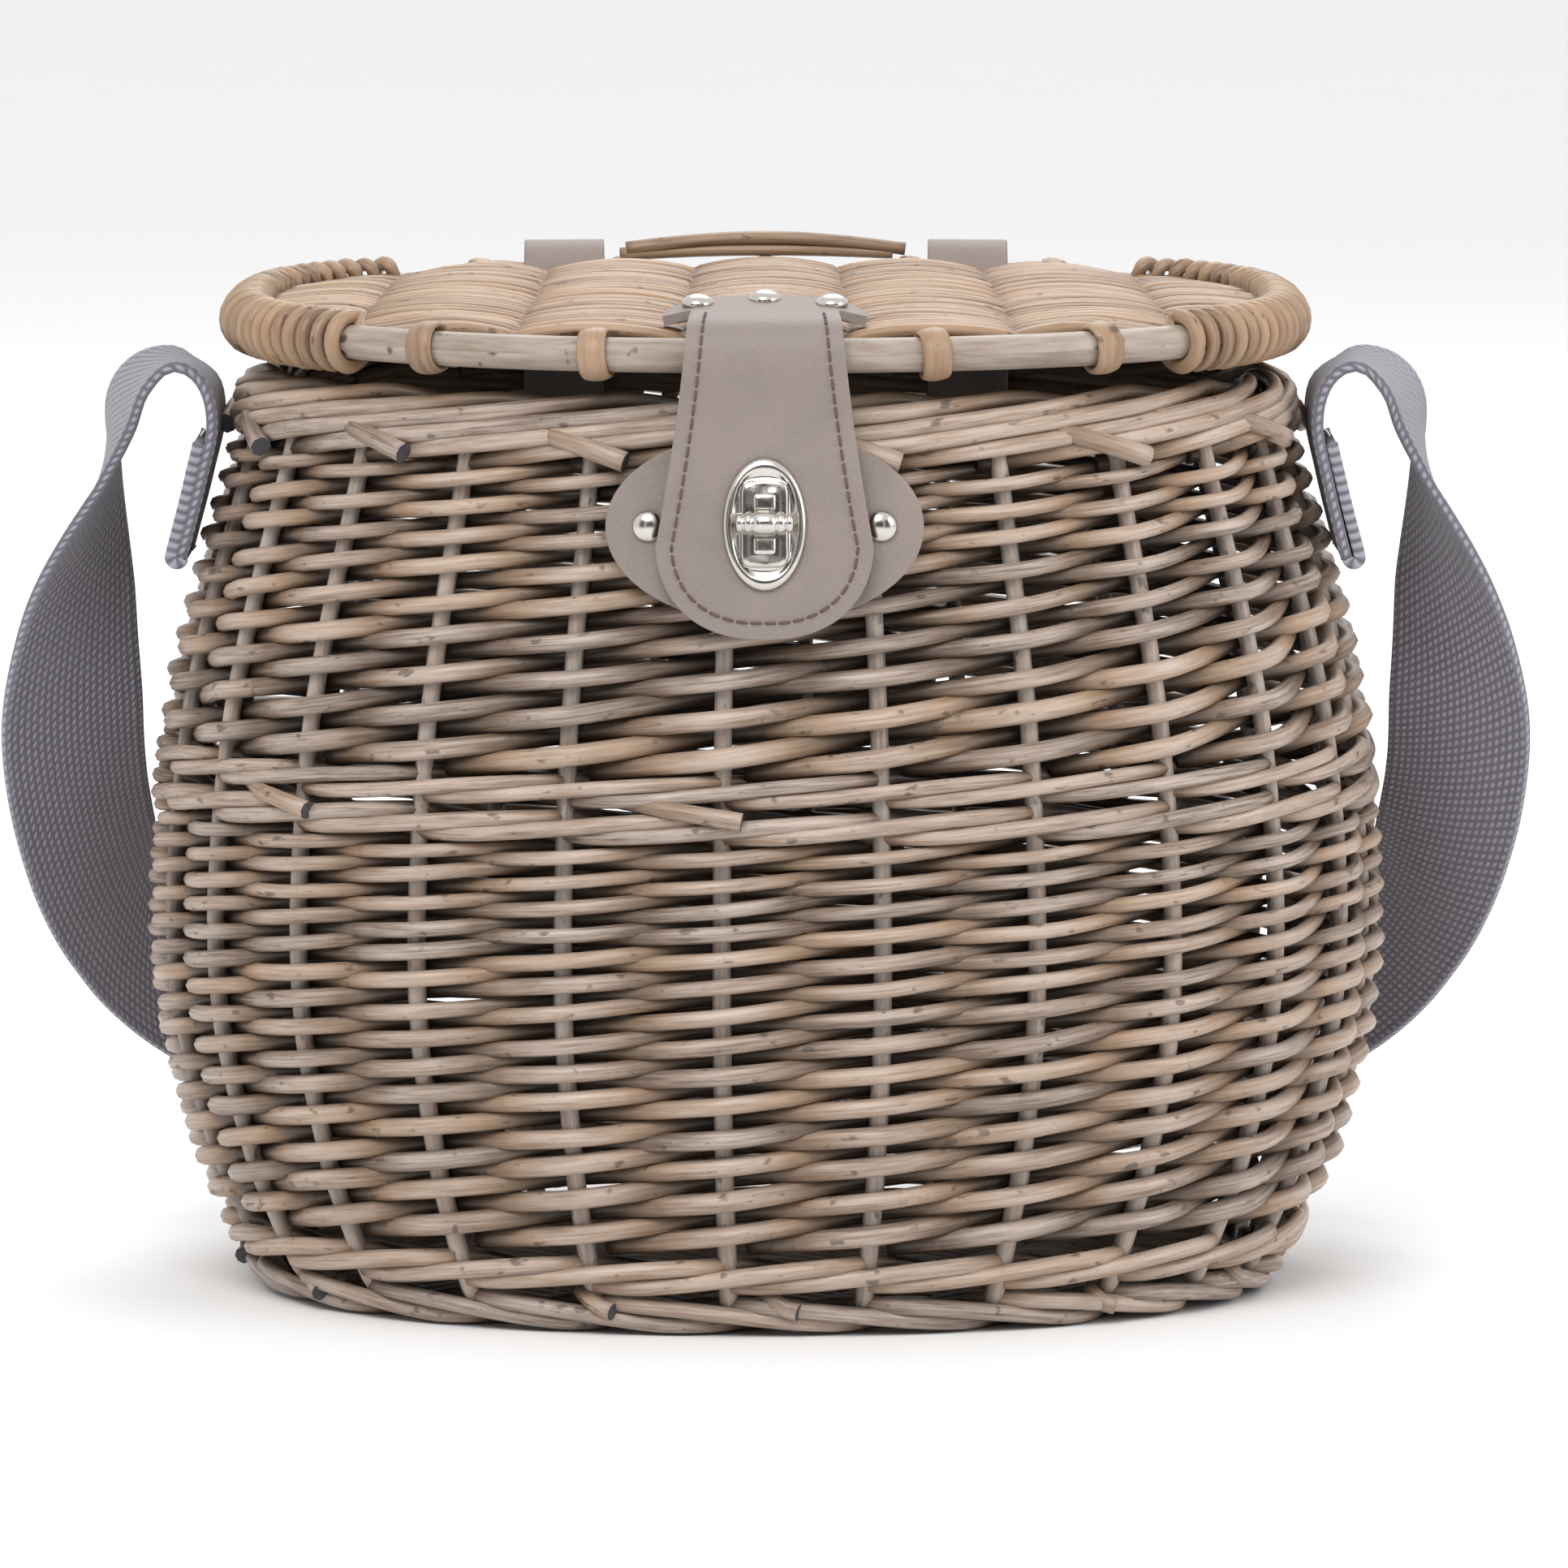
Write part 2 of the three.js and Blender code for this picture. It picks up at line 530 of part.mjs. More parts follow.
// The flap hangs from the bend, runs flat past the lock, and ends in a round tip.
function flapRoute() {
  const at = (angle) => new THREE.Vector3(
    0,
    FRONT_HOOP.y + BEND_OUTSIDE * Math.cos(angle),
    FRONT_HOOP.z + BEND_OUTSIDE * Math.sin(angle),
  );
  const onPlane = (up) => new THREE.Vector3(0, up, FLAP_UNDER + LEATHER).applyMatrix4(lockFrame());
  const tip = PATCH_Z - (FRONT_HOOP.z - FLAP_DROP);
  return [at(FLAP_START), at(FLAP_START + 0.45), onPlane(24), onPlane(8), onPlane(-8), onPlane(-tip)];
}

function addFlap() {
  const route = flapRoute();
  const curve = new THREE.CatmullRomCurve3(route);
  const length = curve.getLength();
  const roundLength = FLAP_END_WIDTH * 0.42;
  const halfWidth = (along) => {
    const left = length - along;
    const share = Math.min(1, along / (length - roundLength));
    const straight = THREE.MathUtils.lerp(FLAP_TOP_WIDTH, FLAP_END_WIDTH, share ** 1.5) / 2;
    const reach = Math.max(0.04, 1 - Math.max(0, 1 - left / roundLength) ** 2.2);
    return straight * reach ** (1 / 2.2);
  };
  const sheet = new THREE.BoxGeometry(2, 1, LEATHER, 2, 20, 1);
  const place = (x, y, z) => {
    const share = THREE.MathUtils.clamp(0.5 - y, 0, 1);
    const spot = curve.getPointAt(share);
    const along = curve.getTangentAt(share);
    const out = new THREE.Vector3(0, along.z, -along.y);
    spot.addScaledVector(out, z - LEATHER / 2);
    return [x * halfWidth(share * length), spot.y, spot.z];
  };
  const slot = onLock(box(SLOT_WIDTH, SLOT_HEIGHT, FLAP_UNDER - 5, FLAP_UNDER + LEATHER + 5));
  addPiece('flap_strap', solidOf(bent(sheet, place)).subtract(slot), HIDE);
}

// The flap's head is riveted to the lid and starts the bend round the hoop.
function headRivetAt(x, y) {
  const seat = [x, FRONT_HOOP.y + y, headZ(FRONT_HOOP.y + y) + LEATHER + GAP];
  return new THREE.Matrix4().makeTranslation(...seat);
}

function headZ(y) {
  return hoopZ(y) + LID_CROWN + 2 * GAP;
}

const HEAD_RIVETS = [[0, 28], [-20, 22], [20, 22]];

function addHead() {
  const top = FRONT_HOOP.z + BEND_INSIDE;
  const shape = new THREE.Shape();
  const [y0, z0] = [FRONT_HOOP.y, FRONT_HOOP.z];
  const crest = headZ(y0 + 14);
  shape.moveTo(y0 + HEAD_DEPTH, headZ(y0 + HEAD_DEPTH));
  shape.lineTo(y0 + HEAD_DEPTH, headZ(y0 + HEAD_DEPTH) + LEATHER);
  shape.lineTo(y0 + 14, crest + LEATHER);
  const bend = [0, 1, 2, 3].map((k) => THREE.MathUtils.lerp(Math.PI / 2, FLAP_START - HEAD_STOP, k / 3));
  for (const angle of bend) {
    shape.lineTo(y0 + BEND_OUTSIDE * Math.cos(angle), z0 + BEND_OUTSIDE * Math.sin(angle));
  }
  for (const angle of bend.slice(1).reverse()) {
    shape.lineTo(y0 + BEND_INSIDE * Math.cos(angle), z0 + BEND_INSIDE * Math.sin(angle));
  }
  shape.lineTo(y0, top);
  shape.lineTo(y0 + 14, crest);
  const strip = new THREE.ExtrudeGeometry(shape, { depth: HEAD_WIDTH, bevelEnabled: false });
  strip.translate(0, 0, -HEAD_WIDTH / 2).rotateZ(Math.PI / 2).rotateY(Math.PI / 2);
  const plan = new THREE.Shape();
  plan.absellipse(0, y0 + 18, HEAD_WIDTH / 2, HEAD_DEPTH - 18, 0, Math.PI * 2, false);
  const post = (outline) => solidOf(new THREE.ExtrudeGeometry(outline, {
    depth: 2 * RIM_HEIGHT, bevelEnabled: false, curveSegments: 10,
  }));
  const neck = new THREE.BoxGeometry(FLAP_TOP_WIDTH, 40, 4 * RIM_HEIGHT).translate(0, y0 - 2, 0);
  const holes = HEAD_RIVETS.map(([x, y]) => solidOf(pin(RIVET_SHANK + GAP, -8, 6)
    .applyMatrix4(headRivetAt(x, y))));
  const head = solidOf(strip).intersect(post(plan).add(solidOf(neck)));
  addPiece('flap_head', cutBy(head, holes), HIDE);
  HEAD_RIVETS.forEach(([x, y], i) => {
    const seated = rivet(LEATHER).applyMatrix4(headRivetAt(x, y));
    addPiece(`head_rivet_${i + 1}`, solidOf(seated), NICKEL);
  });
}

// ---- Shoulder strap: webbing, riveted flat against each side of the wall
function strapCurves() {
  const mirrored = STRAP_ROUTE.slice(0, -1).map(([x, y, z, turn, drop]) => [-x, y, z, -turn, drop]);
  const route = [...STRAP_ROUTE, ...mirrored.reverse()];
  const centre = route.map(([x, y, z]) => new THREE.Vector3(x, y, z));
  const edge = route.map(([, , , turn, drop]) => {
    const [turned, dropped] = [turn, drop].map(THREE.MathUtils.degToRad);
    const flat = Math.cos(dropped);
    return new THREE.Vector3(Math.sin(turned) * flat, -Math.cos(turned) * flat, -Math.sin(dropped));
  });
  return [new THREE.CatmullRomCurve3(centre), new THREE.CatmullRomCurve3(edge), route.length - 1];
}

// The strap's own axes at a point of its route, counted in route steps: across, along and out.
function strapFrame(step) {
  const [centre, edges, steps] = strapCurves();
  const share = step < 0 ? 1 + step / steps : step / steps;
  const along = centre.getTangent(share);
  const edge = edges.getPoint(share);
  edge.addScaledVector(along, -edge.dot(along)).normalize();
  const frame = new THREE.Matrix4().makeBasis(edge.clone().negate(), along, along.clone().cross(edge));
  return frame.setPosition(centre.getPoint(share));
}

function addStrap() {
  const steps = strapCurves()[2];
  const web = new THREE.BoxGeometry(STRAP_WIDTH, 1, STRAP_THICKNESS, 1, STRAP_STEPS, 1);
  const strap = solidOf(bent(web, (x, y, z) => {
    const spot = new THREE.Vector3(x, 0, z).applyMatrix4(strapFrame(Math.max(0, (y + 0.5) * steps)));
    return spot.toArray();
  }));
  const rivets = [];
  for (const [side, sign] of [['right', 1], ['left', -1]]) {
    STRAP_RIVETS.forEach((step, i) => {
      const seat = new THREE.Matrix4().makeTranslation(0, 0, STRAP_THICKNESS / 2 + 2 * GAP);
      const place = strapFrame(sign * step).multiply(seat);
      rivets.push([`strap_rivet_${side}_${i + 1}`, place]);
    });
  }
  const holes = rivets.map(([, place]) => solidOf(pin(RIVET_SHANK + GAP, -8, 4).applyMatrix4(place)));
  addPiece('shoulder_strap', cutBy(strap, holes), WEBBING);
  for (const [name, place] of rivets) {
    addPiece(name, solidOf(rivet(STRAP_THICKNESS).applyMatrix4(place)), NICKEL);
  }
}

addBase();
addWall();
addLid();
addPatch();
addLock();
addPlate();
addHead();
addFlap();
addStrap();

export default group;
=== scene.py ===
import json
import math
import random

import bmesh
import bpy
import numpy as np
from mathutils import Matrix, Vector


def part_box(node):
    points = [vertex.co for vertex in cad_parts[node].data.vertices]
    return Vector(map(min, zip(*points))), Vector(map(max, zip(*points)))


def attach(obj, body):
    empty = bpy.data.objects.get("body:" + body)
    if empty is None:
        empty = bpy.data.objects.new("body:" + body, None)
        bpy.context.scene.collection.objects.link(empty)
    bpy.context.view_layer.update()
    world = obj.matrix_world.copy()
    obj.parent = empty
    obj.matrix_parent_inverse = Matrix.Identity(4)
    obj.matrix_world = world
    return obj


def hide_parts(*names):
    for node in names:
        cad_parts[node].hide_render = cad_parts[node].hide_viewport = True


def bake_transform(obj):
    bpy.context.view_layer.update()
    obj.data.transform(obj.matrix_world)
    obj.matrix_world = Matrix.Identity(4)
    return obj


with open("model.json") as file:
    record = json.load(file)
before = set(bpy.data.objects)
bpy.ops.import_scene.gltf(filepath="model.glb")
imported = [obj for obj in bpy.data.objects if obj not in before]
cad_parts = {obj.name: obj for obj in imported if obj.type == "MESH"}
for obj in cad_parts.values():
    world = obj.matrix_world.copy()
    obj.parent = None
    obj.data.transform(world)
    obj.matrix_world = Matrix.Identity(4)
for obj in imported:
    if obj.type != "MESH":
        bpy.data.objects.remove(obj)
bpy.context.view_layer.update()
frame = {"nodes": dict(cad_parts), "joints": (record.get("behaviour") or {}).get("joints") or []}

bl_info = {
    "name": "Wicker creel basket",
    "version": (1, 0, 0),
    "blender": (4, 5, 0),
    "location": "View3D > Sidebar > Basket",
    "description": "Weaves an oval willow basket with its lid, leather closure and webbing strap",
    "category": "Object",
}


def box_of(node):
    low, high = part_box(node)
    return np.array(low), np.array(high)


# ---- Places that come from the frame, in metres
WALL_TOP = box_of("rim_border")[1][2]
BORDER_LOW = box_of("rim_border")[0][2]
FOOT_TOP = box_of("foot_wale")[1][2]
WALE_LOW = box_of("middle_wale")[0][2]
WALE_HIGH = box_of("middle_wale")[1][2]
BELLY = (box_of("lower_wall_weave")[1] - box_of("lower_wall_weave")[0])[:2] / 2
LOCK = next(j for j in frame["joints"] if j["name"] == "lock_turn")

# ---- Sizes of the weave, in metres
WALL = 0.016
STAKES = 24
STAKE_PHASE = math.radians(-4)
FRONT_POWER = 2.1
BACK_POWER = 3.0
WALL_SHAPE = [
    (0, 0.812), (0.046, 0.861), (0.08, 0.886), (0.154, 0.934), (0.225, 0.964), (0.295, 0.988),
    (0.365, 0.999), (0.435, 1.0), (0.505, 0.994), (0.575, 0.984), (0.65, 0.968), (0.72, 0.945),
    (0.79, 0.918), (0.86, 0.888), (0.92, 0.864), (0.965, 0.85), (1, 0.843),
]
HOOP_RADIUS = 0.0052
HOOP = (box_of("lid_hoop")[1] - box_of("lid_hoop")[0])[:2] / 2 - HOOP_RADIUS
HOOP_FRONT_Z = WALL_TOP + 0.010
HOOP_BACK_Z = WALL_TOP + 0.016
LEATHER = 0.003
random.seed(7)


# ---- The oval: angle 0 is the front, and it turns towards +X
def oval(angle, half_length, half_depth):
    across, ahead = np.sin(angle), np.cos(angle)
    power = np.where(ahead > 0, FRONT_POWER, BACK_POWER)
    reach = (np.abs(across) ** power + np.abs(ahead) ** power) ** (-1 / power)
    return half_length * reach * across, -half_depth * reach * ahead


def share_at(z):
    levels, shares = zip(*WALL_SHAPE)
    return np.interp(np.asarray(z) / WALL_TOP, levels, shares)


def on_wall(angle, z, out):
    """Points out from the middle of the wall, square to the oval."""
    angle, z, out = np.broadcast_arrays(*(np.asarray(v, float) for v in (angle, z, out)))
    share = share_at(z)
    sides = (BELLY[0] * share - WALL / 2, BELLY[1] * share - WALL / 2)
    x, y = oval(angle, *sides)
    nearby = oval(angle + 0.01, *sides)
    before = oval(angle - 0.01, *sides)
    tx, ty = nearby[0] - before[0], nearby[1] - before[1]
    length = np.hypot(tx, ty)
    return np.stack([x + out * ty / length, y - out * tx / length, z], -1)


def hoop_z(y):
    share = (np.asarray(y) + HOOP[1]) / (2 * HOOP[1])
    return HOOP_FRONT_Z + (HOOP_BACK_Z - HOOP_FRONT_Z) * share


def on_hoop(angle):
    x, y = oval(np.asarray(angle, float), *HOOP)
    return np.stack([x, y, hoop_z(y)], -1)


def hoop_angle(x, behind=False):
    power = BACK_POWER if behind else FRONT_POWER
    across = min(1, abs(x) / HOOP[0])
    angle = math.atan2(across, (1 - across ** power) ** (1 / power))
    return math.copysign(math.pi - angle if behind else angle, x)


def smooth_curve(points, count):
    """A smooth curve through the points, and its parameter in steps of the list."""
    points = np.array(points, float)
    ends = [2 * points[0] - points[1], 2 * points[-1] - points[-2]]
    padded = np.vstack([ends[0], points, ends[1]])
    share = np.linspace(0, len(points) - 1, count)
    index = np.minimum(share.astype(int), len(points) - 2)
    w = (share - index)[:, None]
    a, b, c, d = (padded[index + k] for k in range(4))
    spans = (b - a, c - b, d - c)
    gaps = [np.maximum(np.linalg.norm(span, axis=1)[:, None] ** 0.5, 1e-4) for span in spans]
    leave = ((b - a) / gaps[0] - (c - a) / (gaps[0] + gaps[1]) + (c - b) / gaps[1]) * gaps[1]
    arrive = ((c - b) / gaps[1] - (d - b) / (gaps[1] + gaps[2]) + (d - c) / gaps[2]) * gaps[1]
    cubic = (2 * w**3 - 3 * w**2 + 1) * b + (w**3 - 2 * w**2 + w) * leave
    return cubic + (3 * w**2 - 2 * w**3) * c + (w**3 - w**2) * arrive, share


# ---- Lines of points
def unit(vectors):
    """The vector, or each row of vectors, at length 1."""
    if vectors.ndim == 1:
        return vectors / np.linalg.norm(vectors)
    return vectors / np.linalg.norm(vectors, axis=1)[:, None]


def run_lengths(points):
    """How far along the line each of its points lies."""
    return np.concatenate([[0], np.cumsum(np.linalg.norm(np.diff(points, axis=0), axis=1))])


def sample(at, lengths, points):
    """The places at these lengths along the line."""
    return np.stack([np.interp(at, lengths, column) for column in points.T], -1)


def apart(points):
    """Which points stand clear of the one before."""
    return np.concatenate([[True], np.linalg.norm(np.diff(points, axis=0), axis=1) > 1e-5])


# ---- Rods: tapering tubes along paths, many to a mesh
def wave(length, strength, seed):
    """A slow wander along a rod, so that no two lie quite alike."""
    rng = random.Random(seed)
    knots = [rng.uniform(-1, 1) for _ in range(max(4, length // 9))]
    return strength * np.interp(np.linspace(0, len(knots) - 1, length), range(len(knots)), knots)


def rod(path, radius, tip=None, up=(0, 0, 1), flat=1.0, lit=None, tone=None, closed=False):
    """One rod: its path, its radius at each point, and its lit share along it, fully lit unless given, which
    sets its painted highlight and painted shade.
    """
    path = np.asarray(path, float)
    count = len(path)
    radii = np.linspace(radius, radius if tip is None else tip, count)
    return {
        "path": path,
        "radii": radii,
        "up": np.array(up, float),
        "flat": flat,
        "lit": np.ones(count) if lit is None else np.asarray(lit, float),
        "tone": random.random() if tone is None else tone,
        "closed": closed,
    }


def rod_rings(item, sides):
    path = item["path"]
    if item["closed"]:
        along = np.roll(path, -1, 0) - np.roll(path, 1, 0)
    else:
        along = np.gradient(path, axis=0)
    along = unit(along)
    up = item["up"] if item["up"].ndim == 2 else np.broadcast_to(item["up"], path.shape)
    up = unit(up - (up * along).sum(1)[:, None] * along)
    side = np.cross(along, up)
    turn = 2 * np.pi * np.arange(sides) / sides
    radii = item["radii"][:, None, None]
    ring = np.cos(turn)[None, :, None] * side[:, None] * item["flat"]
    ring = ring + np.sin(turn)[None, :, None] * up[:, None]
    return path[:, None] + radii * ring


def rods_object(name, rods, materials, sides=8):
    """One mesh of rods. UV runs along each rod in metres and round it from 0 to 1."""
    corners, faces, uvs, colours, ends = [], [], [], [], []
    start = 0
    for item in rods:
        rings = rod_rings(item, sides)
        count = len(rings)
        along = run_lengths(item["path"])
        corners.append(rings.reshape(-1, 3))
        # The grain attribute carries the rod's tone, its lit share for painted highlight and painted shade, and
        # how far along it is.
        colour = np.ones((count, sides, 4))
        colour[..., 0] = item["tone"]
        colour[..., 1] = item["lit"][:, None]
        colour[..., 2] = (along / along[-1])[:, None]
        colours.append(colour.reshape(-1, 4))
        spans = count if item["closed"] else count - 1
        for i in range(spans):
            j = (i + 1) % count
            ahead = along[j] if j else along[-1] + along[1]
            for k in range(sides):
                m = (k + 1) % sides
                faces.append((start + i * sides + k, start + i * sides + m,
                              start + j * sides + m, start + j * sides + k))
                uvs += [(along[i], k / sides), (along[i], (k + 1) / sides),
                        (ahead, (k + 1) / sides), (ahead, k / sides)]
                ends.append(0)
        if not item["closed"]:
            for cap in (range(sides - 1, -1, -1), range((count - 1) * sides, count * sides)):
                faces.append(tuple(start + k for k in cap))
                uvs += [(0.5 + 0.4 * math.cos(2 * math.pi * k / sides),
                         0.5 + 0.4 * math.sin(2 * math.pi * k / sides)) for k in range(sides)]
                ends.append(len(materials) - 1)
        start += count * sides
    mesh = bpy.data.meshes.new(name)
    mesh.from_pydata(np.vstack(corners).tolist(), [], faces)
    layer = mesh.uv_layers.new(name="UVMap")
    layer.data.foreach_set("uv", np.array(uvs, np.float32).ravel())
    grain = mesh.color_attributes.new("grain", "FLOAT_COLOR", "POINT")
    grain.data.foreach_set("color", np.vstack(colours).astype(np.float32).ravel())
    mesh.polygons.foreach_set("material_index", ends)
    mesh.polygons.foreach_set("use_smooth", [len(face) == 4 for face in faces])
    return place_mesh(name, mesh, materials)


def place_mesh(name, mesh, materials):
    for material in materials:
        mesh.materials.append(material)
    mesh.update()
    piece = bpy.data.objects.new(name, mesh)
    bpy.context.scene.collection.objects.link(piece)
    return piece


def from_bmesh(name, bm, materials, shut=True):
    """A piece from a bmesh; shut ones have their faces turned outwards, and sheets keep theirs."""
    mesh = bpy.data.meshes.new(name)
    if shut:
        bmesh.ops.recalc_face_normals(bm, faces=bm.faces)
    bm.to_mesh(mesh)
    bm.free()
    mesh.polygons.foreach_set("use_smooth", [True] * len(mesh.polygons))
    return place_mesh(name, mesh, materials)


def settle(piece, body, slot, *nodes):
    """The piece takes its place on a body, and the nodes that it stands for are hidden; slot, its finish, is
    not used.
    """
    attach(piece, body)
    if nodes:
        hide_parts(*nodes)


# ---- Shader nodes
UV_COORDINATES = 2  # outputs of the Texture Coordinate node
OBJECT_COORDINATES = 3


def linear(red, green, blue):
    return tuple(((c / 255 + 0.055) / 1.055) ** 2.4 if c > 10 else c / 3294.6 for c in (red, green, blue))


class Value:
    """A socket that takes part in sums."""

    def __init__(self, shader, socket):
        self.shader, self.socket = shader, socket

    def sum(self, operation, *others):
        inputs = dict(enumerate((self, *others)))
        return self.shader.node("ShaderNodeMath", {"operation": operation}, inputs)

    def __add__(self, other):
        return self.sum("ADD", other)

    __radd__ = __add__

    def __mul__(self, other):
        return self.sum("MULTIPLY", other)

    def __sub__(self, other):
        return self.sum("SUBTRACT", other)

    def __rsub__(self, other):
        return self.shader.node("ShaderNodeMath", {"operation": "SUBTRACT"}, {0: other, 1: self})


class Shader:
    """A material being made: node() adds a node, mix() blends two colours, surface() ends it."""

    def __init__(self, name):
        self.material = bpy.data.materials.new(name)
        self.material.use_nodes = True
        self.tree = self.material.node_tree
        self.bsdf = self.tree.nodes["Principled BSDF"]

    def put(self, socket, value):
        if isinstance(value, Value):
            self.tree.links.new(value.socket, socket)
        elif isinstance(value, tuple) and len(value) == 3 and socket.type == "RGBA":
            socket.default_value = (*value, 1)
        else:
            socket.default_value = value

    def node(self, kind, settings=None, inputs=None, output=0):
        node = self.tree.nodes.new(kind)
        for key, value in (settings or {}).items():
            if key == "stops":
                for element, (at, grey) in zip(node.color_ramp.elements, value):
                    element.position, element.color = at, (grey, grey, grey, 1)
            else:
                setattr(node, key, value)
        for key, value in (inputs or {}).items():
            self.put(node.inputs[key], value)
        return Value(self, node.outputs[output])

    def noise(self, vector, scale, detail=3.0, rough=0.5, warp=0.0):
        inputs = {"Vector": vector, "Scale": scale, "Detail": detail, "Roughness": rough, "Distortion": warp}
        return self.node("ShaderNodeTexNoise", {}, inputs, "Fac")

    def ramp(self, value, low, high):
        stops = [(low, 0), (high, 1)]
        return self.node("ShaderNodeValToRGB", {"stops": stops}, {"Fac": value})

    def mix(self, share, first, second):
        return self.node("ShaderNodeMix", {"data_type": "RGBA"}, {0: share, 6: first, 7: second}, 2)

    def surface(self, bump=None, depth=0.0005, strength=1.0, **inputs):
        for key, value in inputs.items():
            self.put(self.bsdf.inputs[key.replace("_", " ").title().replace("Ior", "IOR")], value)
        if bump is not None:
            normal = self.node("ShaderNodeBump", {}, {"Strength": strength, "Distance": depth, "Height": bump})
            self.put(self.bsdf.inputs["Normal"], normal)
        return self.material


# ---- Finishes
def willow(name, low, high, pale_wear_and_highlight, speckle=1.0):
    """Weathered willow: tone from rod to rod, grain along it, a pale colour where it stands out that is partly
    wear and partly painted highlight, painted shade where it lies behind, dark scars.
    """
    s = Shader(name)
    place = s.node("ShaderNodeTexCoord", output=UV_COORDINATES)
    grain = s.node("ShaderNodeAttribute", {"attribute_name": "grain"})
    parts = s.tree.nodes.new("ShaderNodeSeparateColor")
    s.put(parts.inputs[0], grain)
    tone, lit = Value(s, parts.outputs[0]), Value(s, parts.outputs[1])
    shift = s.node("ShaderNodeCombineXYZ", {}, {"X": tone * 9, "Y": tone * 5, "Z": 0})
    spot = s.node("ShaderNodeVectorMath", {"operation": "ADD"}, {0: place, 1: shift})
    fibre = s.node("ShaderNodeMapping", {}, {"Vector": spot, "Scale": (28, 7, 1)})
    blotch = s.node("ShaderNodeMapping", {}, {"Vector": spot, "Scale": (22, 1.3, 1)})
    scar = s.node("ShaderNodeMapping", {}, {"Vector": spot, "Scale": (120, 3, 1)})
    lines = s.noise(fibre, 2.2, 4.0, 0.6)
    cloud = s.noise(blotch, 1.0, 3.0)
    marks = s.ramp(s.noise(scar, 1.0, 2.0, 0.6), 0.635, 0.70)
    base = s.mix(s.ramp(cloud * 0.55 + tone * 0.45, 0.28, 0.68), low, high)
    streaked = s.mix(s.ramp(lines, 0.35, 0.7) * 0.32, base, pale_wear_and_highlight)
    # Painted highlight: where the lit share is high, where a rod stands out in front, a pale colour is laid on
    # in patches; it stands for wear and for a highlight.
    patchy = 0.25 + s.ramp(cloud * 0.5 + lines * 0.5, 0.40, 0.60) * 0.75
    highlight_and_wear_share = s.ramp(lit, 0.62, 1.0) * patchy * 0.68
    worn_and_highlit = s.mix(highlight_and_wear_share, streaked, pale_wear_and_highlight)
    # Painted shade: where the lit share is low, where a rod runs behind a stake or stick, the colour is
    # darkened towards a dark copy of the low tone.
    shade = s.ramp(lit, 0.05, 0.70)
    with_painted_shade = s.mix(shade, tuple(c * 0.38 for c in low), worn_and_highlit)
    coloured = s.mix(marks * (0.62 * speckle), with_painted_shade, (0.03, 0.022, 0.018))
    return s.surface(
        bump=lines * 0.5 + cloud * 0.8 - marks * 0.5, depth=0.0004, strength=0.55,
        base_color=coloured, roughness=0.56 - cloud * 0.24, specular_ior_level=0.5)


def cut_end(name):
    s = Shader(name)
    place = s.node("ShaderNodeTexCoord", output=OBJECT_COORDINATES)
    colour = s.mix(s.noise(place, 700.0), (0.022, 0.025, 0.034), (0.085, 0.08, 0.085))
    return s.surface(base_color=colour, roughness=0.75)


def hide(name, colour, grain=900.0):
    """Fine-grained leather."""
    s = Shader(name)
    place = s.node("ShaderNodeTexCoord", output=OBJECT_COORDINATES)
    cells = s.node("ShaderNodeTexVoronoi", {"feature": "F1"}, {"Vector": place, "Scale": grain})
    tint = s.noise(place, 60.0, 3.0)
    pores = s.noise(place, grain * 1.7, 2.0)
    base = s.mix(s.ramp(tint, 0.3, 0.7), tuple(c * 0.93 for c in colour), tuple(c * 1.05 for c in colour))
    creased = s.mix(s.ramp(cells, 0.25, 0.75) * 0.16, base, tuple(c * 1.3 for c in colour))
    return s.surface(
        bump=cells * 0.8 + pores * 0.4, depth=0.0004, strength=0.35,
        base_color=creased, roughness=0.5 + tint * 0.1, specular_ior_level=0.4)


def plain(name, colour, roughness, metallic=0.0, scale=300.0, spread=0.12, depth=0.0001):
    s = Shader(name)
    place = s.node("ShaderNodeTexCoord", output=OBJECT_COORDINATES)
    cloud = s.noise(place, scale, 3.0)
    pair = (tuple(c * (1 - spread) for c in colour), tuple(min(1, c * (1 + spread)) for c in colour))
    return s.surface(
        bump=cloud, depth=depth, strength=0.2,
        base_color=s.mix(cloud, *pair), roughness=roughness - 0.04 + cloud * 0.08, metallic=metallic)


RIB_WIDTH = 0.0024  # of the webbing's twill, across the strap and along it
RIB_LENGTH = 0.0030


def webbing(name, light, dark):
    """Coarse webbing: twill ribs that lean across the strap, from its own UV in metres, with painted shade in
    the valleys between them.
    """
    s = Shader(name)
    place = s.node("ShaderNodeTexCoord", output=UV_COORDINATES)
    split = s.tree.nodes.new("ShaderNodeSeparateXYZ")
    s.put(split.inputs[0], place)
    u, v = Value(s, split.outputs[0]), Value(s, split.outputs[1])
    warp = (v * (2 * math.pi / RIB_WIDTH)).sum("SINE")
    weft = (u * (2 * math.pi / RIB_LENGTH) + v * (2 * math.pi / (2 * RIB_WIDTH))).sum("SINE")
    cells = (warp * 0.5 + 0.5) * (weft * 0.5 + 0.5)
    fuzz = s.noise(place, 1500.0, 3.0, 0.7)
    broad = s.noise(place, 45.0, 2.0)
    height = cells * 0.8 + fuzz * 0.2
    # Painted shade: the valleys between the ribs take the dark colour and the rib tops the light one.
    ribs_and_valley_shade = s.mix(s.ramp(height, 0.08, 0.62), dark, light)
    tinted = s.mix(broad * 0.25, ribs_and_valley_shade, tuple(c * 0.82 for c in light))
    return s.surface(
        bump=height, depth=0.0008, strength=0.8,
        base_color=tinted, roughness=0.9, sheen_weight=0.25, specular_ior_level=0.2)


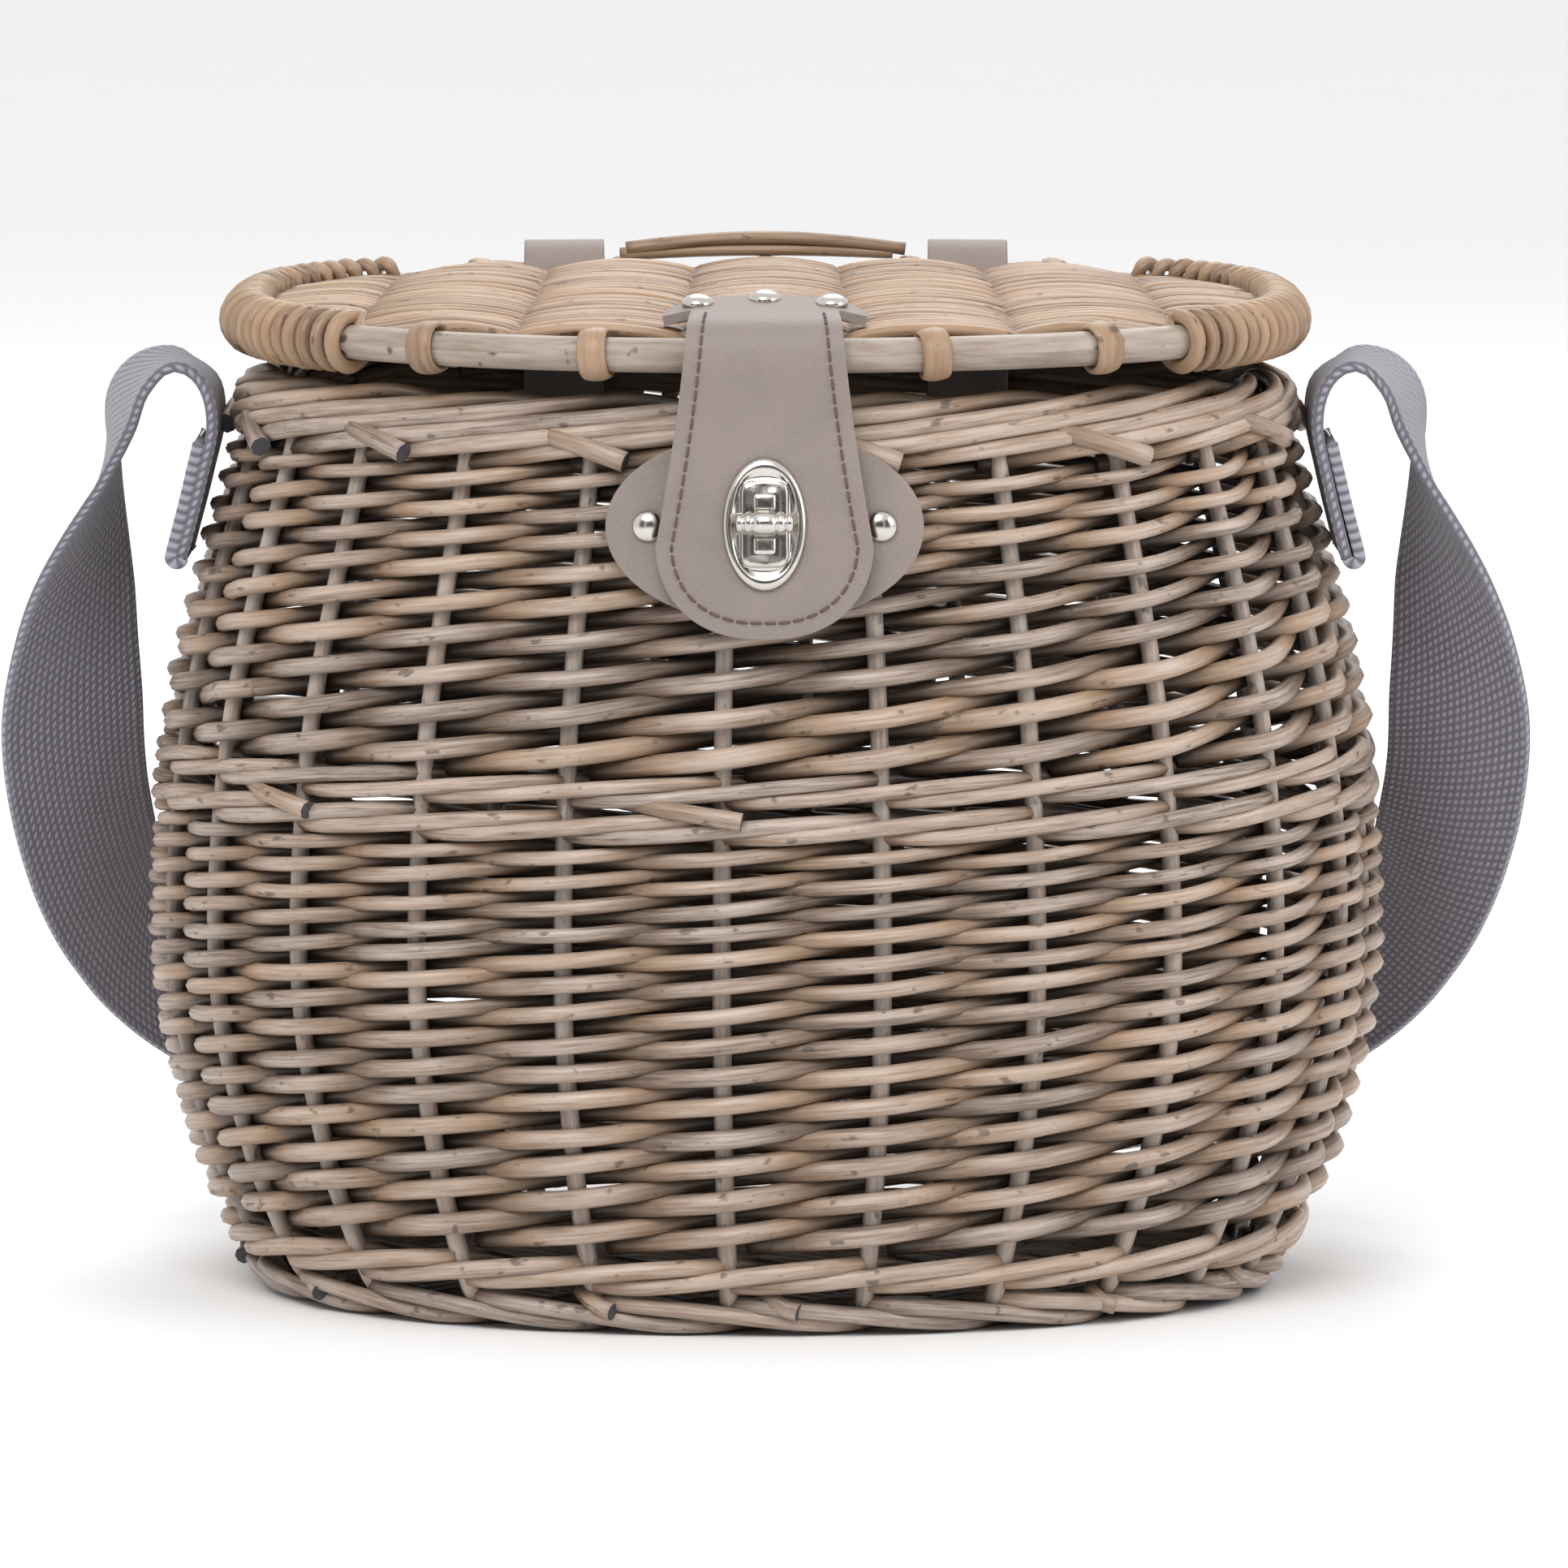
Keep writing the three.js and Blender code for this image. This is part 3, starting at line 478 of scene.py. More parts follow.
# ---- Woven wall
MID = WALL / 2 - 0.0028  # how far a rod's middle stands in or out as it passes a stake
FOOT_ROD = 0.0029


def around(start, steps):
    """Angles round the basket, counted in stakes from a stake."""
    return STAKE_PHASE + 2 * np.pi * (start + np.asarray(steps)) / STAKES


def randed(low, high, butt, tip, turns, lean=1, seed=1):
    """French randing: a rod starts beside each stake and climbs, in front of one and behind the next."""
    rods = []
    levels = round(turns * STAKES)
    count = levels * 7 + 1
    u = np.linspace(-0.85, levels - 0.85, count)
    share = (u - u[0]) / levels
    climb = np.cumsum(butt + (tip - butt) * share)
    climb = low + butt + (high - low - butt - tip) * (climb - climb[0]) / (climb[-1] - climb[0])
    for i in range(STAKES):
        wander = wave(count, 0.0011, seed * 100 + i) + random.uniform(-0.0004, 0.0004)
        swing = np.cos(np.pi * u)
        out = np.arcsin(0.93 * swing) / math.asin(0.93) * (MID + wave(count, 0.0005, seed * 200 + i))
        path = on_wall(around(i * lean, u * lean), np.clip(climb + wander, low, high), out)
        size = random.uniform(0.92, 1.06) / 2
        # The lit share paints the rod lighter where it swings out in front of a stake and darker, as painted
        # shade, where it runs behind.
        rods.append(rod(path, butt * size, tip * size, lit=0.5 + 0.5 * swing))
    return rods


def waled(low, high, radius, ahead, rounds, seed, lift=0.0030, lean=1):
    """Waling: each rod passes in front of some stakes and behind the next, and they wind like a rope."""
    rods = []
    period = ahead + 1
    front = ahead / period
    total = rounds * STAKES + 2
    count = total * 7
    u = np.linspace(0, total, count)
    phase = (u / period) % 1
    outside = phase < front
    part = np.where(outside, phase / front, (phase - front) / (1 - front))
    swing = np.tanh(2.6 * np.sin(np.pi * part)) * np.where(outside, 1, -1)
    twist = -np.cos(np.pi * part) * np.where(outside, 1, -1)
    turn, left = np.divmod(u, STAKES)
    level = np.clip(turn + np.clip((left - STAKES) / 1.5 + 1, 0, 1), 0, rounds - 1)
    for i in range(period):
        z = low + (high - low) * (level + 0.5) / rounds + lift * twist + wave(count, 0.0007, seed * 50 + i)
        z = np.clip(z, low + radius, high)
        path = on_wall(around(STAKES / 2 + i, u * lean), z, swing * (MID + 0.0003))
        # The lit share paints the rod lighter where it passes in front of stakes and darker, as painted shade,
        # where it passes behind.
        rods.append(rod(path, radius, radius * 0.8, lit=0.5 + 0.5 * swing))
    return rods


def border_rods(radius):
    """The rolled border: each stake bends over to the right and rises in front of the next ones."""
    rods = []
    for i in range(STAKES):
        u = np.linspace(-0.15, 5.6, 48)
        rise = np.clip(u / 4.1, 0, 1)
        z = BORDER_LOW - 0.002 + (WALL_TOP - BORDER_LOW - radius - 0.0005) * rise ** 0.8 + 0.001
        z = z - 0.007 * np.clip((u - 4.3) / 1.3, 0, 1)
        out = np.interp(u, [-0.15, 0.5, 1, 3.2, 3.9, 4.5, 5.6], [-3, 2.6, 5.6, 5.8, 1, -5, -5.4]) / 1000
        z = z + wave(48, 0.0009, 900 + i)
        # The lit share paints the border rod dark, as painted shade, where it lies inside or drops behind, and
        # light where it rolls over the front.
        lit = np.interp(u, [0, 0.8, 3.4, 4.2], [0.1, 1, 0.9, 0.3])
        path = on_wall(around(i, u), z, out)
        rods.append(rod(path, radius * random.uniform(0.94, 1.06), radius * 0.85, lit=lit))
        u = np.linspace(0.2, 3.4, 24)
        z = BORDER_LOW + 0.004 + 0.010 * (u / 3.4) + wave(24, 0.0006, 950 + i)
        # The rods on the inside are held at half lit, a flat painted shade.
        rods.append(rod(on_wall(around(i, u), z, -0.0045), radius * 0.9, radius * 0.7, lit=np.full(24, 0.5)))
    return rods


def butt_ends(stakes, z, radius, length=1.0, drop=0.010, reach=0.0035):
    """Rods that end outside the weave, cut off square, pointing down to the right."""
    rods = []
    for at in stakes:
        long = length * random.uniform(0.85, 1.1)
        u = np.linspace(0, long, 12)
        out = np.interp(u, [0, long * 0.45, long], [-0.001, MID + 0.0015, MID + reach])
        fall = drop * random.uniform(0.8, 1.15) * (u / long) ** 1.2
        path = on_wall(around(at + random.uniform(-0.15, 0.15), u), z - fall, out)
        # The lit share paints each end darker, as painted shade, where it leaves the weave, and lighter towards
        # its cut tip.
        rods.append(rod(path, radius * 0.9, radius * 1.12, lit=np.linspace(0.4, 1, 12)))
    return rods


def stake_rods(radius):
    rods = []
    for i in range(STAKES):
        z = np.linspace(0.006, BORDER_LOW + 0.006, 40)
        path = on_wall(around(i, 0 * z), z, wave(40, 0.0005, 300 + i))
        tangent = on_wall(around(i, 0 * z + 0.02), z, 0)[0] - path[0]
        # Stakes are held nearly fully lit along their length, so they take much of the pale colour that stands
        # for wear and painted highlight, and no painted shade.
        rods.append(rod(path, radius, radius * 0.9, up=tangent, lit=np.full(40, 0.95)))
    return rods


def foot_stubs(radius):
    """Cut ends of the base sticks and stakes that show round the foot."""
    rods = []
    for i in range(STAKES // 2):
        z = np.array([0.013, 0.010, 0.0080, 0.0072]) + random.uniform(-0.002, 0.002)
        out = np.array([0, MID - 0.001, MID + 0.001, MID + 0.0028])
        path = on_wall(around(i * 2 + random.uniform(0, 1), 0 * z + np.linspace(0, 0.25, 4)), z, out)
        # The lit share paints each stub darker, as painted shade, where it comes out of the foot, and lighter
        # at its end.
        rods.append(rod(path, radius, lit=np.array([0.3, 0.7, 0.9, 0.9])))
    return rods


def oval_rows(half_length, half_depth, z, rows, radius, sticks, hump):
    """Rows of weaving from side to side of an oval, over one stick and under the next."""
    rods = []
    spacing = sticks[1] - sticks[0]
    for i in range(rows):
        y = half_depth * (-1 + 2 * (i + 0.5) / rows)
        power = FRONT_POWER if y < 0 else BACK_POWER
        reach = half_length * (1 - abs(y / half_depth) ** power) ** (1 / power)
        x = np.linspace(-reach, reach, max(16, int(reach * 2 / 0.005)))
        swing = np.cos(np.pi * (x - sticks[0]) / spacing) * (1 if i % 2 else -1)
        path = np.stack([x, y + 0 * x, z + hump * swing], 1)
        # The lit share paints each weaver lighter where it humps up over a stick and darker, as painted shade,
        # where it dips under the next.
        rods.append(rod(path, radius, radius * 0.9, lit=0.6 + 0.4 * swing))
    return rods


# ---- Lid
STICKS_FRONT = np.arange(-2, 3) * 0.050
STICKS_BACK = np.arange(-2, 3) * 0.045
STICK_RISE = 0.0012
WRAP_FROM = hoop_angle(0.121)
WRAP_TO = hoop_angle(0.118, behind=True)
ROW_POINTS = 76  # along a weaver of the lid
LANE_OUTSIDE = 0.048  # the spacing of the humps beyond the outer sticks


def stick_x(index, y):
    share = (y + HOOP[1]) / (2 * HOOP[1])
    return STICKS_FRONT[index] + (STICKS_BACK[index] - STICKS_FRONT[index]) * share


def lid_rows(rows, radius):
    """Weavers that fan from one end of the lid to the other, humped over every other stick."""
    rods = []
    for i in range(rows):
        share = (i + 0.5) / rows
        end = WRAP_FROM + (WRAP_TO - WRAP_FROM) * share
        ends = on_hoop(end)
        middle = -HOOP[1] + 0.0085 + (2 * HOOP[1] - 0.0180) * share
        x = np.linspace(-ends[0] + 0.004, ends[0] - 0.004, ROW_POINTS)
        y = ends[1] + (middle - ends[1]) * (1 - np.abs(x / ends[0]) ** 2.3)
        lane = np.interp(x, stick_x(np.arange(5), middle), np.arange(5), left=np.nan, right=np.nan)
        first, last = stick_x(0, middle), stick_x(4, middle)
        lane = np.where(x < first, (x - first) / LANE_OUTSIDE, lane)
        lane = np.where(x > last, 4 + (x - last) / LANE_OUTSIDE, lane)
        side = 1 if i % 2 else -1
        swing = np.cos(np.pi * lane)
        swing = np.sign(swing) * np.abs(swing) ** 0.65 * side
        fade = np.clip((ends[0] - np.abs(x)) / 0.035, 0, 1)
        crown = 0.0018 * (1 - (x / ends[0]) ** 2)
        z = hoop_z(y) + STICK_RISE + crown + 0.0036 * swing * fade + wave(ROW_POINTS, 0.0004, 500 + i)
        # The lit share paints each weaver lighter where it humps up and darker, as painted shade, where it dips
        # under a stick; the wrapped ends are held lit, a painted highlight.
        path, lit = np.stack([x, y, z], 1), 0.5 + 0.5 * swing
        up = np.tile((0.0, 0.0, 1.0), (len(path), 1))
        if i % 2:
            (left, left_up), (right, right_up) = wrap_end(end, -1, radius), wrap_end(end, 1, radius)
            wrap_highlight = np.full(len(left), 0.9)
            path, lit = np.vstack([left, path, right]), np.concatenate([wrap_highlight, lit, wrap_highlight])
            up = np.vstack([left_up, up, right_up])
        rods.append(rod(path, radius * random.uniform(0.92, 1.08), up=up, lit=lit))
    return rods


def wrap_end(end, sign, radius):
    """The end of a weaver: over the hoop, round its outside and under it, with the way out of the hoop."""
    centre = on_hoop(end) * (sign, 1, 1)
    before, after = on_hoop(end - 0.02) * (sign, 1, 1), on_hoop(end + 0.02) * (sign, 1, 1)
    outward = unit(np.cross(after - before, (0, 0, 1)) * sign)
    reach = HOOP_RADIUS + radius
    angles = np.radians(np.linspace(118, -172, 18))
    away = np.cos(angles)[:, None] * outward + np.sin(angles)[:, None] * np.array([0, 0, 1])
    away = away[::sign]
    return centre + reach * away, away


def loop_round_rail(angle, radius, width, start=150, stop=-165):
    """A stick's flattened end, wrapped round the hoop."""
    centre = on_hoop(angle)
    rail = unit(on_hoop(angle + 0.03) - on_hoop(angle - 0.03))
    outward = np.cross(rail, (0, 0, 1))
    outward = unit(outward * (np.sign(outward[1]) * np.sign(centre[1])))
    angles = np.radians(np.linspace(start, stop, 26))
    away = np.cos(angles)[:, None] * outward + np.sin(angles)[:, None] * np.array([0, 0, 1.0])
    path = centre + (HOOP_RADIUS + radius) * away
    path += rail * np.linspace(-0.0012, 0.0012, 26)[:, None]
    # Held nearly fully lit: a flat painted highlight on the flattened end.
    return rod(path, radius, up=path - centre, flat=width / (2 * radius), lit=np.full(26, 0.95))


def lid_sticks():
    rods = []
    for i in range(5):
        ends = [on_hoop(hoop_angle(STICKS_FRONT[i])), on_hoop(hoop_angle(STICKS_BACK[i], True))]
        path = ends[0] + (ends[1] - ends[0]) * np.linspace(0.05, 0.95, 30)[:, None]
        path[:, 2] += STICK_RISE
        rods.append(rod(path, 0.0027, up=(1, 0, 0)))
        rods.append(loop_round_rail(hoop_angle(STICKS_FRONT[i]), 0.0014, 0.0088))
        rods.append(loop_round_rail(hoop_angle(STICKS_BACK[i], True), 0.0014, 0.0080))
    return rods


def hoop_rod():
    angles = np.linspace(0, 2 * np.pi, 180, endpoint=False)
    # The hoop is held at a steady lit share, a flat painted highlight all round.
    item = rod(on_hoop(angles), HOOP_RADIUS, closed=True, lit=np.full(180, 0.8))
    thin = np.interp(np.cos(angles), [-1, -0.3, 0.4, 1], [0.78, 0.85, 1, 1])
    item["radii"] = item["radii"] * thin
    return item


def back_rods():
    """Thin rods that lie along the back of the lid and cross each other."""
    rods = []
    lines = [(-0.044, 0.044, 0.0098, 0.0135, 0.0025), (-0.046, 0.040, 0.0085, 0.0098, 0.0021)]
    for start, stop, low, high, radius in lines:
        x = np.linspace(start, stop, 30)
        angle = np.array([hoop_angle(v if abs(v) > 1e-5 else 1e-5, True) for v in x])
        path = on_hoop(angle)
        path[:, 2] += low + (high - low) * np.cos(np.linspace(-1.5, 1.5, 30))
        path[:, 1] += 0.0012 * np.linspace(-1, 1, 30)
        # Held mostly lit: a flat painted highlight along these rods.
        rods.append(rod(path, radius, radius * 0.8, lit=np.full(30, 0.9)))
    return rods


# ---- Leather
BEND_CENTRE = np.array([0, -HOOP[1], HOOP_FRONT_Z])
BEND_OUT = 0.0114
LOCK_AT = np.array(LOCK["pos_m"], float)
LOCK_OUT = np.array(LOCK["axis"], float)
LOCK_UP = np.array([0, LOCK_OUT[2], -LOCK_OUT[1]])
FLAP_TOP = 0.0100  # the flap's outer face, out from the wall at the lock
PLATE_LOW = FLAP_TOP + 0.0003
FLAP_DROP = 0.084  # from the hoop to the flap's round end
HEAD_LIFT = 0.0122  # from the hoop's centre to the top of the flap's head
HINGE_HALF_WIDTH = 0.0125
HINGE_SLANT = 0.105  # how the hinge loops follow the curve of the border


def lock_point(x, up, out):
    return LOCK_AT + np.array([x, 0, 0]) + up * LOCK_UP + out * LOCK_OUT


def head_top(back):
    """The height of the flap's head, which leans on the domed lid, at a distance behind the hoop."""
    return hoop_z(back - HOOP[1]) + HEAD_LIFT + 0.11 * max(0, back - 0.012)


def round_rail(angle):
    """A place on the flap's outer face where it bends over the rail."""
    return BEND_CENTRE + BEND_OUT * np.array([0, math.cos(angle), math.sin(angle)])


def flap_line():
    """The flap's outer face in the upright plane: along the lid, round the hoop and down past the lock."""
    bend = [round_rail(angle) for angle in np.radians((100, 128, 160))]
    tip = LOCK_AT[2] - (HOOP_FRONT_Z - FLAP_DROP)
    hang = [lock_point(0, up, FLAP_TOP) for up in (0.030, 0.015, 0, -0.015, -tip)]
    y = -HOOP[1]
    return [np.array([0, y + back, head_top(back)]) for back in (0.033, 0.024, 0.013)] + bend + hang


def sheet_from(grid, keep, name, materials, thickness, edge=0.0007):
    """A sheet of leather from rows of points, with thickness and rounded cut edges."""
    bm = bmesh.new()
    rows, columns = grid.shape[:2]
    points = [[bm.verts.new(grid[i, j]) for j in range(columns)] for i in range(rows)]
    for i in range(rows - 1):
        for j in range(columns - 1):
            if keep(i, j):
                bm.faces.new((points[i][j], points[i][j + 1], points[i + 1][j + 1], points[i + 1][j]))
    bmesh.ops.delete(bm, geom=[v for v in bm.verts if not v.link_faces], context="VERTS")
    return thicken(from_bmesh(name, bm, materials, shut=False), thickness, edge)


def thicken(piece, thickness, edge):
    """Gives a sheet its thickness, inwards, and rounds its cut edges."""
    solid = piece.modifiers.new("thickness", "SOLIDIFY")
    solid.thickness, solid.offset = thickness, -1
    bevel = piece.modifiers.new("rounded edge", "BEVEL")
    bevel.width, bevel.segments, bevel.limit_method = edge, 2, "ANGLE"
    bevel.angle_limit = math.radians(50)
    return piece


def bake(piece):
    """Applies the modifiers, so that the piece is plain mesh."""
    graph = bpy.context.evaluated_depsgraph_get()
    mesh = bpy.data.meshes.new_from_object(piece.evaluated_get(graph))
    piece.modifiers.clear()
    piece.data = mesh
    return piece


def flap_width(along, total):
    """Half the flap's width: a mushroom head, a neck, then a widening tongue with a round end."""
    head = 0.0305 * max(0, 1 - max(0, (0.0165 - along) / 0.0165) ** 2.2) ** (1 / 2.2)
    if along < 0.0185:
        return max(0.002, head)
    neck = 0.022
    share = (along - 0.0205) / (total - 0.0205 - 0.027)
    tongue = neck + (0.0323 - neck) * max(0, min(1, share)) ** 1.6
    left = total - along
    reach = 1 - max(0, 1 - left / 0.030) ** 2.3
    return max(0.002, tongue * max(0, reach) ** (1 / 2.3))


def flap_surface():
    line, _ = smooth_curve(flap_line(), 700)
    steps = run_lengths(line)

    def at(along, x, lift=0.0):
        spot, ahead, behind = (sample(along + nudge, steps, line) for nudge in (0, 0.0005, -0.0005))
        t = (ahead - behind) / max(1e-9, np.linalg.norm(ahead - behind))
        out = np.array([0, t[2], -t[1]])
        return spot + out * lift + np.array([x, 0, 0])

    return at, steps[-1]


def flap_rows(total):
    ends = 0.5 - 0.5 * np.cos(np.linspace(0, np.pi, 76))
    return np.unique(np.concatenate([ends * total, [0.0184, 0.0186, 0.0196, 0.0206]]))


def make_flap(leather):
    at, total = flap_surface()
    rows = flap_rows(total)
    grid = np.array([[at(a, x * flap_width(a, total)) for x in np.linspace(-1, 1, 25)] for a in rows])
    wings = np.maximum(0, np.abs(grid[..., 0]) - 0.020) * (rows < 0.0190)[:, None]
    grid[..., 2] -= 0.22 * wings
    slot_top, slot_low = lock_point(0, 0.010, FLAP_TOP)[2], lock_point(0, -0.010, FLAP_TOP)[2]

    def keep(i, j):
        """All but the slot that the lock comes through."""
        z, x = grid[i, 12, 2], abs(grid[i, j, 0] + grid[i, j + 1, 0]) / 2
        return not (slot_low < z < slot_top and x < 0.0045 and grid[i, 12, 1] < LOCK_AT[1])

    return sheet_from(grid[:, ::-1], keep, "flap_leather", [leather], LEATHER)


def stitches(points, normals, pitch, length, radius, name, material):
    """A row of thread stitches that dip into the leather between themselves."""
    steps = run_lengths(points)
    rods = []
    for start in np.arange(pitch / 2, steps[-1] - pitch, pitch):
        s = start + np.linspace(0, length, 7)
        path, normal = sample(s, steps, points), sample(s, steps, normals)
        arch = np.sin(np.linspace(0, np.pi, 7))[:, None] ** 0.6
        rods.append(rod(path + normal * (arch * radius * 1.1 - radius * 0.7), radius, up=normal[3]))
    return rods_object(name, rods, [material], sides=6)


def flap_stitching(thread):
    at, total = flap_surface()
    inset = 0.0047
    outline = np.array([(a, flap_width(a, total)) for a in np.linspace(0.022, total, 900)])
    outline[-1, 1] = 0
    ahead = unit(np.gradient(outline, axis=0))
    inner = outline + inset * np.stack([ahead[:, 1], -ahead[:, 0]], 1)
    inner = inner[(inner[:, 1] > 0) & (inner[:, 0] > 0.026)]
    half = np.array([at(a, x, 0.0002) for a, x in inner[apart(inner)]])
    line = np.vstack([half, (half * (-1, 1, 1))[::-1][1:]])
    normals = np.tile(LOCK_OUT, (len(line), 1))
    bend = line[:, 2] > HOOP_FRONT_Z - 0.004
    normals[bend] = unit((line[bend] - BEND_CENTRE) * (0, 1, 1))
    return stitches(line, normals, 0.0042, 0.0031, 0.00042, "flap_stitching", thread)


def front_point(x, up, out):
    """A place on the front of the wall: across, up from the lock, and out from the wall's face."""
    z = LOCK_AT[2] + up
    angle = math.atan2(x, BELLY[0] * float(share_at(z)))
    return on_wall(angle, z, WALL / 2 + out)


def make_patch(leather):
    """The oval patch, bent to the wall, from a square grid pulled into an oval."""
    steps = np.linspace(-1, 1, 33)
    grid = np.array([[front_point(
        0.049 * x * math.sqrt(1 - y * y / 2), 0.028 * y * math.sqrt(1 - x * x / 2), 0.0044,
    ) for x in steps] for y in steps])
    return sheet_from(grid, lambda i, j: True, "patch_leather", [leather], 0.0027, 0.0006)


def hull_band(circles, outset, count=160):
    """Points round the band that hugs the circles, each [y, z, radius], in the upright plane."""
    angles = np.linspace(0, 2 * np.pi, count, endpoint=False)
    y = np.array([c[0] for c in circles])
    z = np.array([c[1] for c in circles])
    r = np.array([c[2] for c in circles]) + outset
    reach = y[None] * np.cos(angles)[:, None] + z[None] * np.sin(angles)[:, None] + r[None]
    best = reach.argmax(1)
    return np.stack([y[best] + r[best] * np.cos(angles), z[best] + r[best] * np.sin(angles)], 1)


def hinge_band(side, outset):
    """The line of a hinge loop in the upright plane, and how a place on it and across it lies."""
    low, high = box_of(f"hinge_strap_{side}")
    middle = (low + high) / 2
    outer, inner = high[1] - 0.0046, low[1] + 0.0060
    circles = [
        (inner + 0.0005, low[2] + 0.0061, 0.0036), (outer - 0.0015, low[2] + 0.0061, 0.0036),
        (middle[1] + 0.004, high[2] - 0.0113, 0.0083), (inner + 0.0025, WALL_TOP - 0.004, 0.0056),
    ]
    line = hull_band(circles, outset)
    slant = -HINGE_SLANT if side == "right" else HINGE_SLANT

    def place(x, spots):
        return [[middle[0] + x, spot[0] + x * slant, spot[1]] for spot in spots]

    return line[apart(line)], place


def band_mesh(side, leather):
    line, place = hinge_band(side, 0.0028)
    grid = np.array([place(x, line) for x in np.linspace(-HINGE_HALF_WIDTH, HINGE_HALF_WIDTH, 13)])
    rows, count = grid.shape[:2]
    bm = bmesh.new()
    points = [[bm.verts.new(grid[i, j]) for j in range(count)] for i in range(rows)]
    for i in range(rows - 1):
        for j in range(count):
            k = (j + 1) % count
            bm.faces.new((points[i][j], points[i + 1][j], points[i + 1][k], points[i][k]))
    return thicken(from_bmesh(f"hinge_leather_{side}", bm, [leather], shut=False), 0.0025, 0.0006)


def band_stitching(side, thread):
    line, place = hinge_band(side, 0.0029)
    rods = []
    lengths = run_lengths(line)
    centre = line.mean(0)
    for x in (-0.0092, 0.0092):
        for start in np.arange(0.001, lengths[-1] - 0.004, 0.0040):
            p = sample(start + np.linspace(0, 0.0029, 6), lengths, line)
            t = p[-1] - p[0]
            out = unit(np.array([t[1], -t[0]]))
            out = out if np.dot(out, p[3] - centre) > 0 else -out
            rods.append(rod(place(x, p + out * 0.0001), 0.0004, up=(1, 0, 0)))
    return rods_object(f"hinge_stitching_{side}", rods, [thread], sides=6)


# ---- Metal
RIVET_RADIUS = 0.0048
RIVET_DOME = 0.0027


def turned(profile, steps=32):
    """A bmesh turned about +Z from [radius, height] points."""
    bm = bmesh.new()
    verts = [bm.verts.new((r, 0, z)) for r, z in profile]
    edges = [bm.edges.new(pair) for pair in zip(verts, verts[1:])]
    bmesh.ops.spin(bm, geom=verts + edges, cent=(0, 0, 0), axis=(0, 0, 1), angle=2 * math.pi,
                   steps=steps, use_merge=True)
    bmesh.ops.remove_doubles(bm, verts=bm.verts, dist=1e-6)
    return bm


def facing(at, out, across=(1, 0, 0)):
    """A frame at a place, with +Z out and +X across."""
    z = Vector(out).normalized()
    x = (Vector(across) - z * Vector(across).dot(z)).normalized()
    y = z.cross(x)
    return Matrix.Translation(Vector(at)) @ Matrix((x, y, z)).transposed().to_4x4()


def make_rivet(node, out, material, lift=0.0):
    low, high = box_of(node)
    middle = (low + high) / 2 + (0, 0, lift)
    radius, dome = RIVET_RADIUS, RIVET_DOME
    profile = [(1e-5, -0.0006), (radius * 0.55, -0.0006), (radius * 0.98, -0.0004), (radius, 0.0001)]
    for angle in np.radians(np.linspace(8, 90, 12)):
        profile.append((max(1e-5, radius * math.cos(angle)), 0.0002 + dome * math.sin(angle)))
    bm = turned(profile)
    seat = middle + np.array(out) * (-0.0001)
    bmesh.ops.transform(bm, matrix=facing(seat, out), verts=bm.verts)
    return from_bmesh(f"{node}_dome", bm, [material])


def loop_ring(bm, half_width, half_height, z, power, count=48):
    verts = []
    for i in range(count):
        a = 2 * math.pi * i / count
        c, s = math.cos(a), math.sin(a)
        reach = (abs(c) ** power + abs(s) ** power) ** (-1 / power)
        verts.append(bm.verts.new((half_width * reach * c, half_height * reach * s, z)))
    return [bm.edges.new((verts[i], verts[(i + 1) % count])) for i in range(count)]


def lofted(rings, closed):
    """A shell through oval or squarish rings, each (half width, half height, z, power)."""
    bm = bmesh.new()
    loops = [loop_ring(bm, *ring) for ring in rings]
    pairs = list(zip(loops, loops[1:])) + ([(loops[-1], loops[0])] if closed else [])
    for first, second in pairs:
        bmesh.ops.bridge_loops(bm, edges=first + second)
    if not closed:
        bmesh.ops.holes_fill(bm, edges=loops[0] + loops[-1], sides=0)
    return bm


def on_lock(bm, out):
    bmesh.ops.transform(bm, matrix=facing(LOCK_AT + LOCK_OUT * out, LOCK_OUT), verts=bm.verts)
    return bm


def add_part(bm, part):
    """Adds one bmesh to another, and frees it."""
    mesh = bpy.data.meshes.new("part")
    part.to_mesh(mesh)
    part.free()
    bm.from_mesh(mesh)
    bpy.data.meshes.remove(mesh)


def make_plate(metal):
    w, h = 0.0125, 0.0198
    rings = [
        (w, h, 0, 2), (w, h, 0.0004, 2), (w * 0.985, h * 0.985, 0.0010, 2), (w * 0.93, h * 0.94, 0.0017, 2),
        (w * 0.84, h * 0.87, 0.0020, 2.1), (w * 0.76, h * 0.80, 0.0017, 2.4),
        (w * 0.70, h * 0.735, 0.0010, 3.2),
        (0.0071, 0.0128, 0.0008, 7), (0.0069, 0.0126, 0.0021, 9), (0.0064, 0.0121, 0.0025, 10),
        (0.0056, 0.0114, 0.0025, 10), (0.0051, 0.0109, 0.0020, 10), (0.0051, 0.0109, 0, 10),
    ]
    return from_bmesh("lock_plate_shell", on_lock(lofted(rings, True), PLATE_LOW), [metal])


def make_lock_base(metal):
    """The post in the slot: a flat foot with a stepped, bevelled block above and below the bar."""
    bm = lofted([(0.0042, 0.0099, 0, 9), (0.0042, 0.0099, 0.0068, 9), (0.0039, 0.0096, 0.0072, 8)], False)
    for sign in (-1, 1):
        block = [(0.0036, 0.0030, 0.0070, 7), (0.0036, 0.0030, 0.0079, 7),
                 (0.0030, 0.0024, 0.0086, 7), (0.0021, 0.0015, 0.0088, 6)]
        part = lofted(block, False)
        bmesh.ops.translate(part, vec=(0, sign * 0.0063, 0), verts=part.verts)
        add_part(bm, part)
    return from_bmesh("lock_base_blocks", on_lock(bm, 0.0044), [metal])


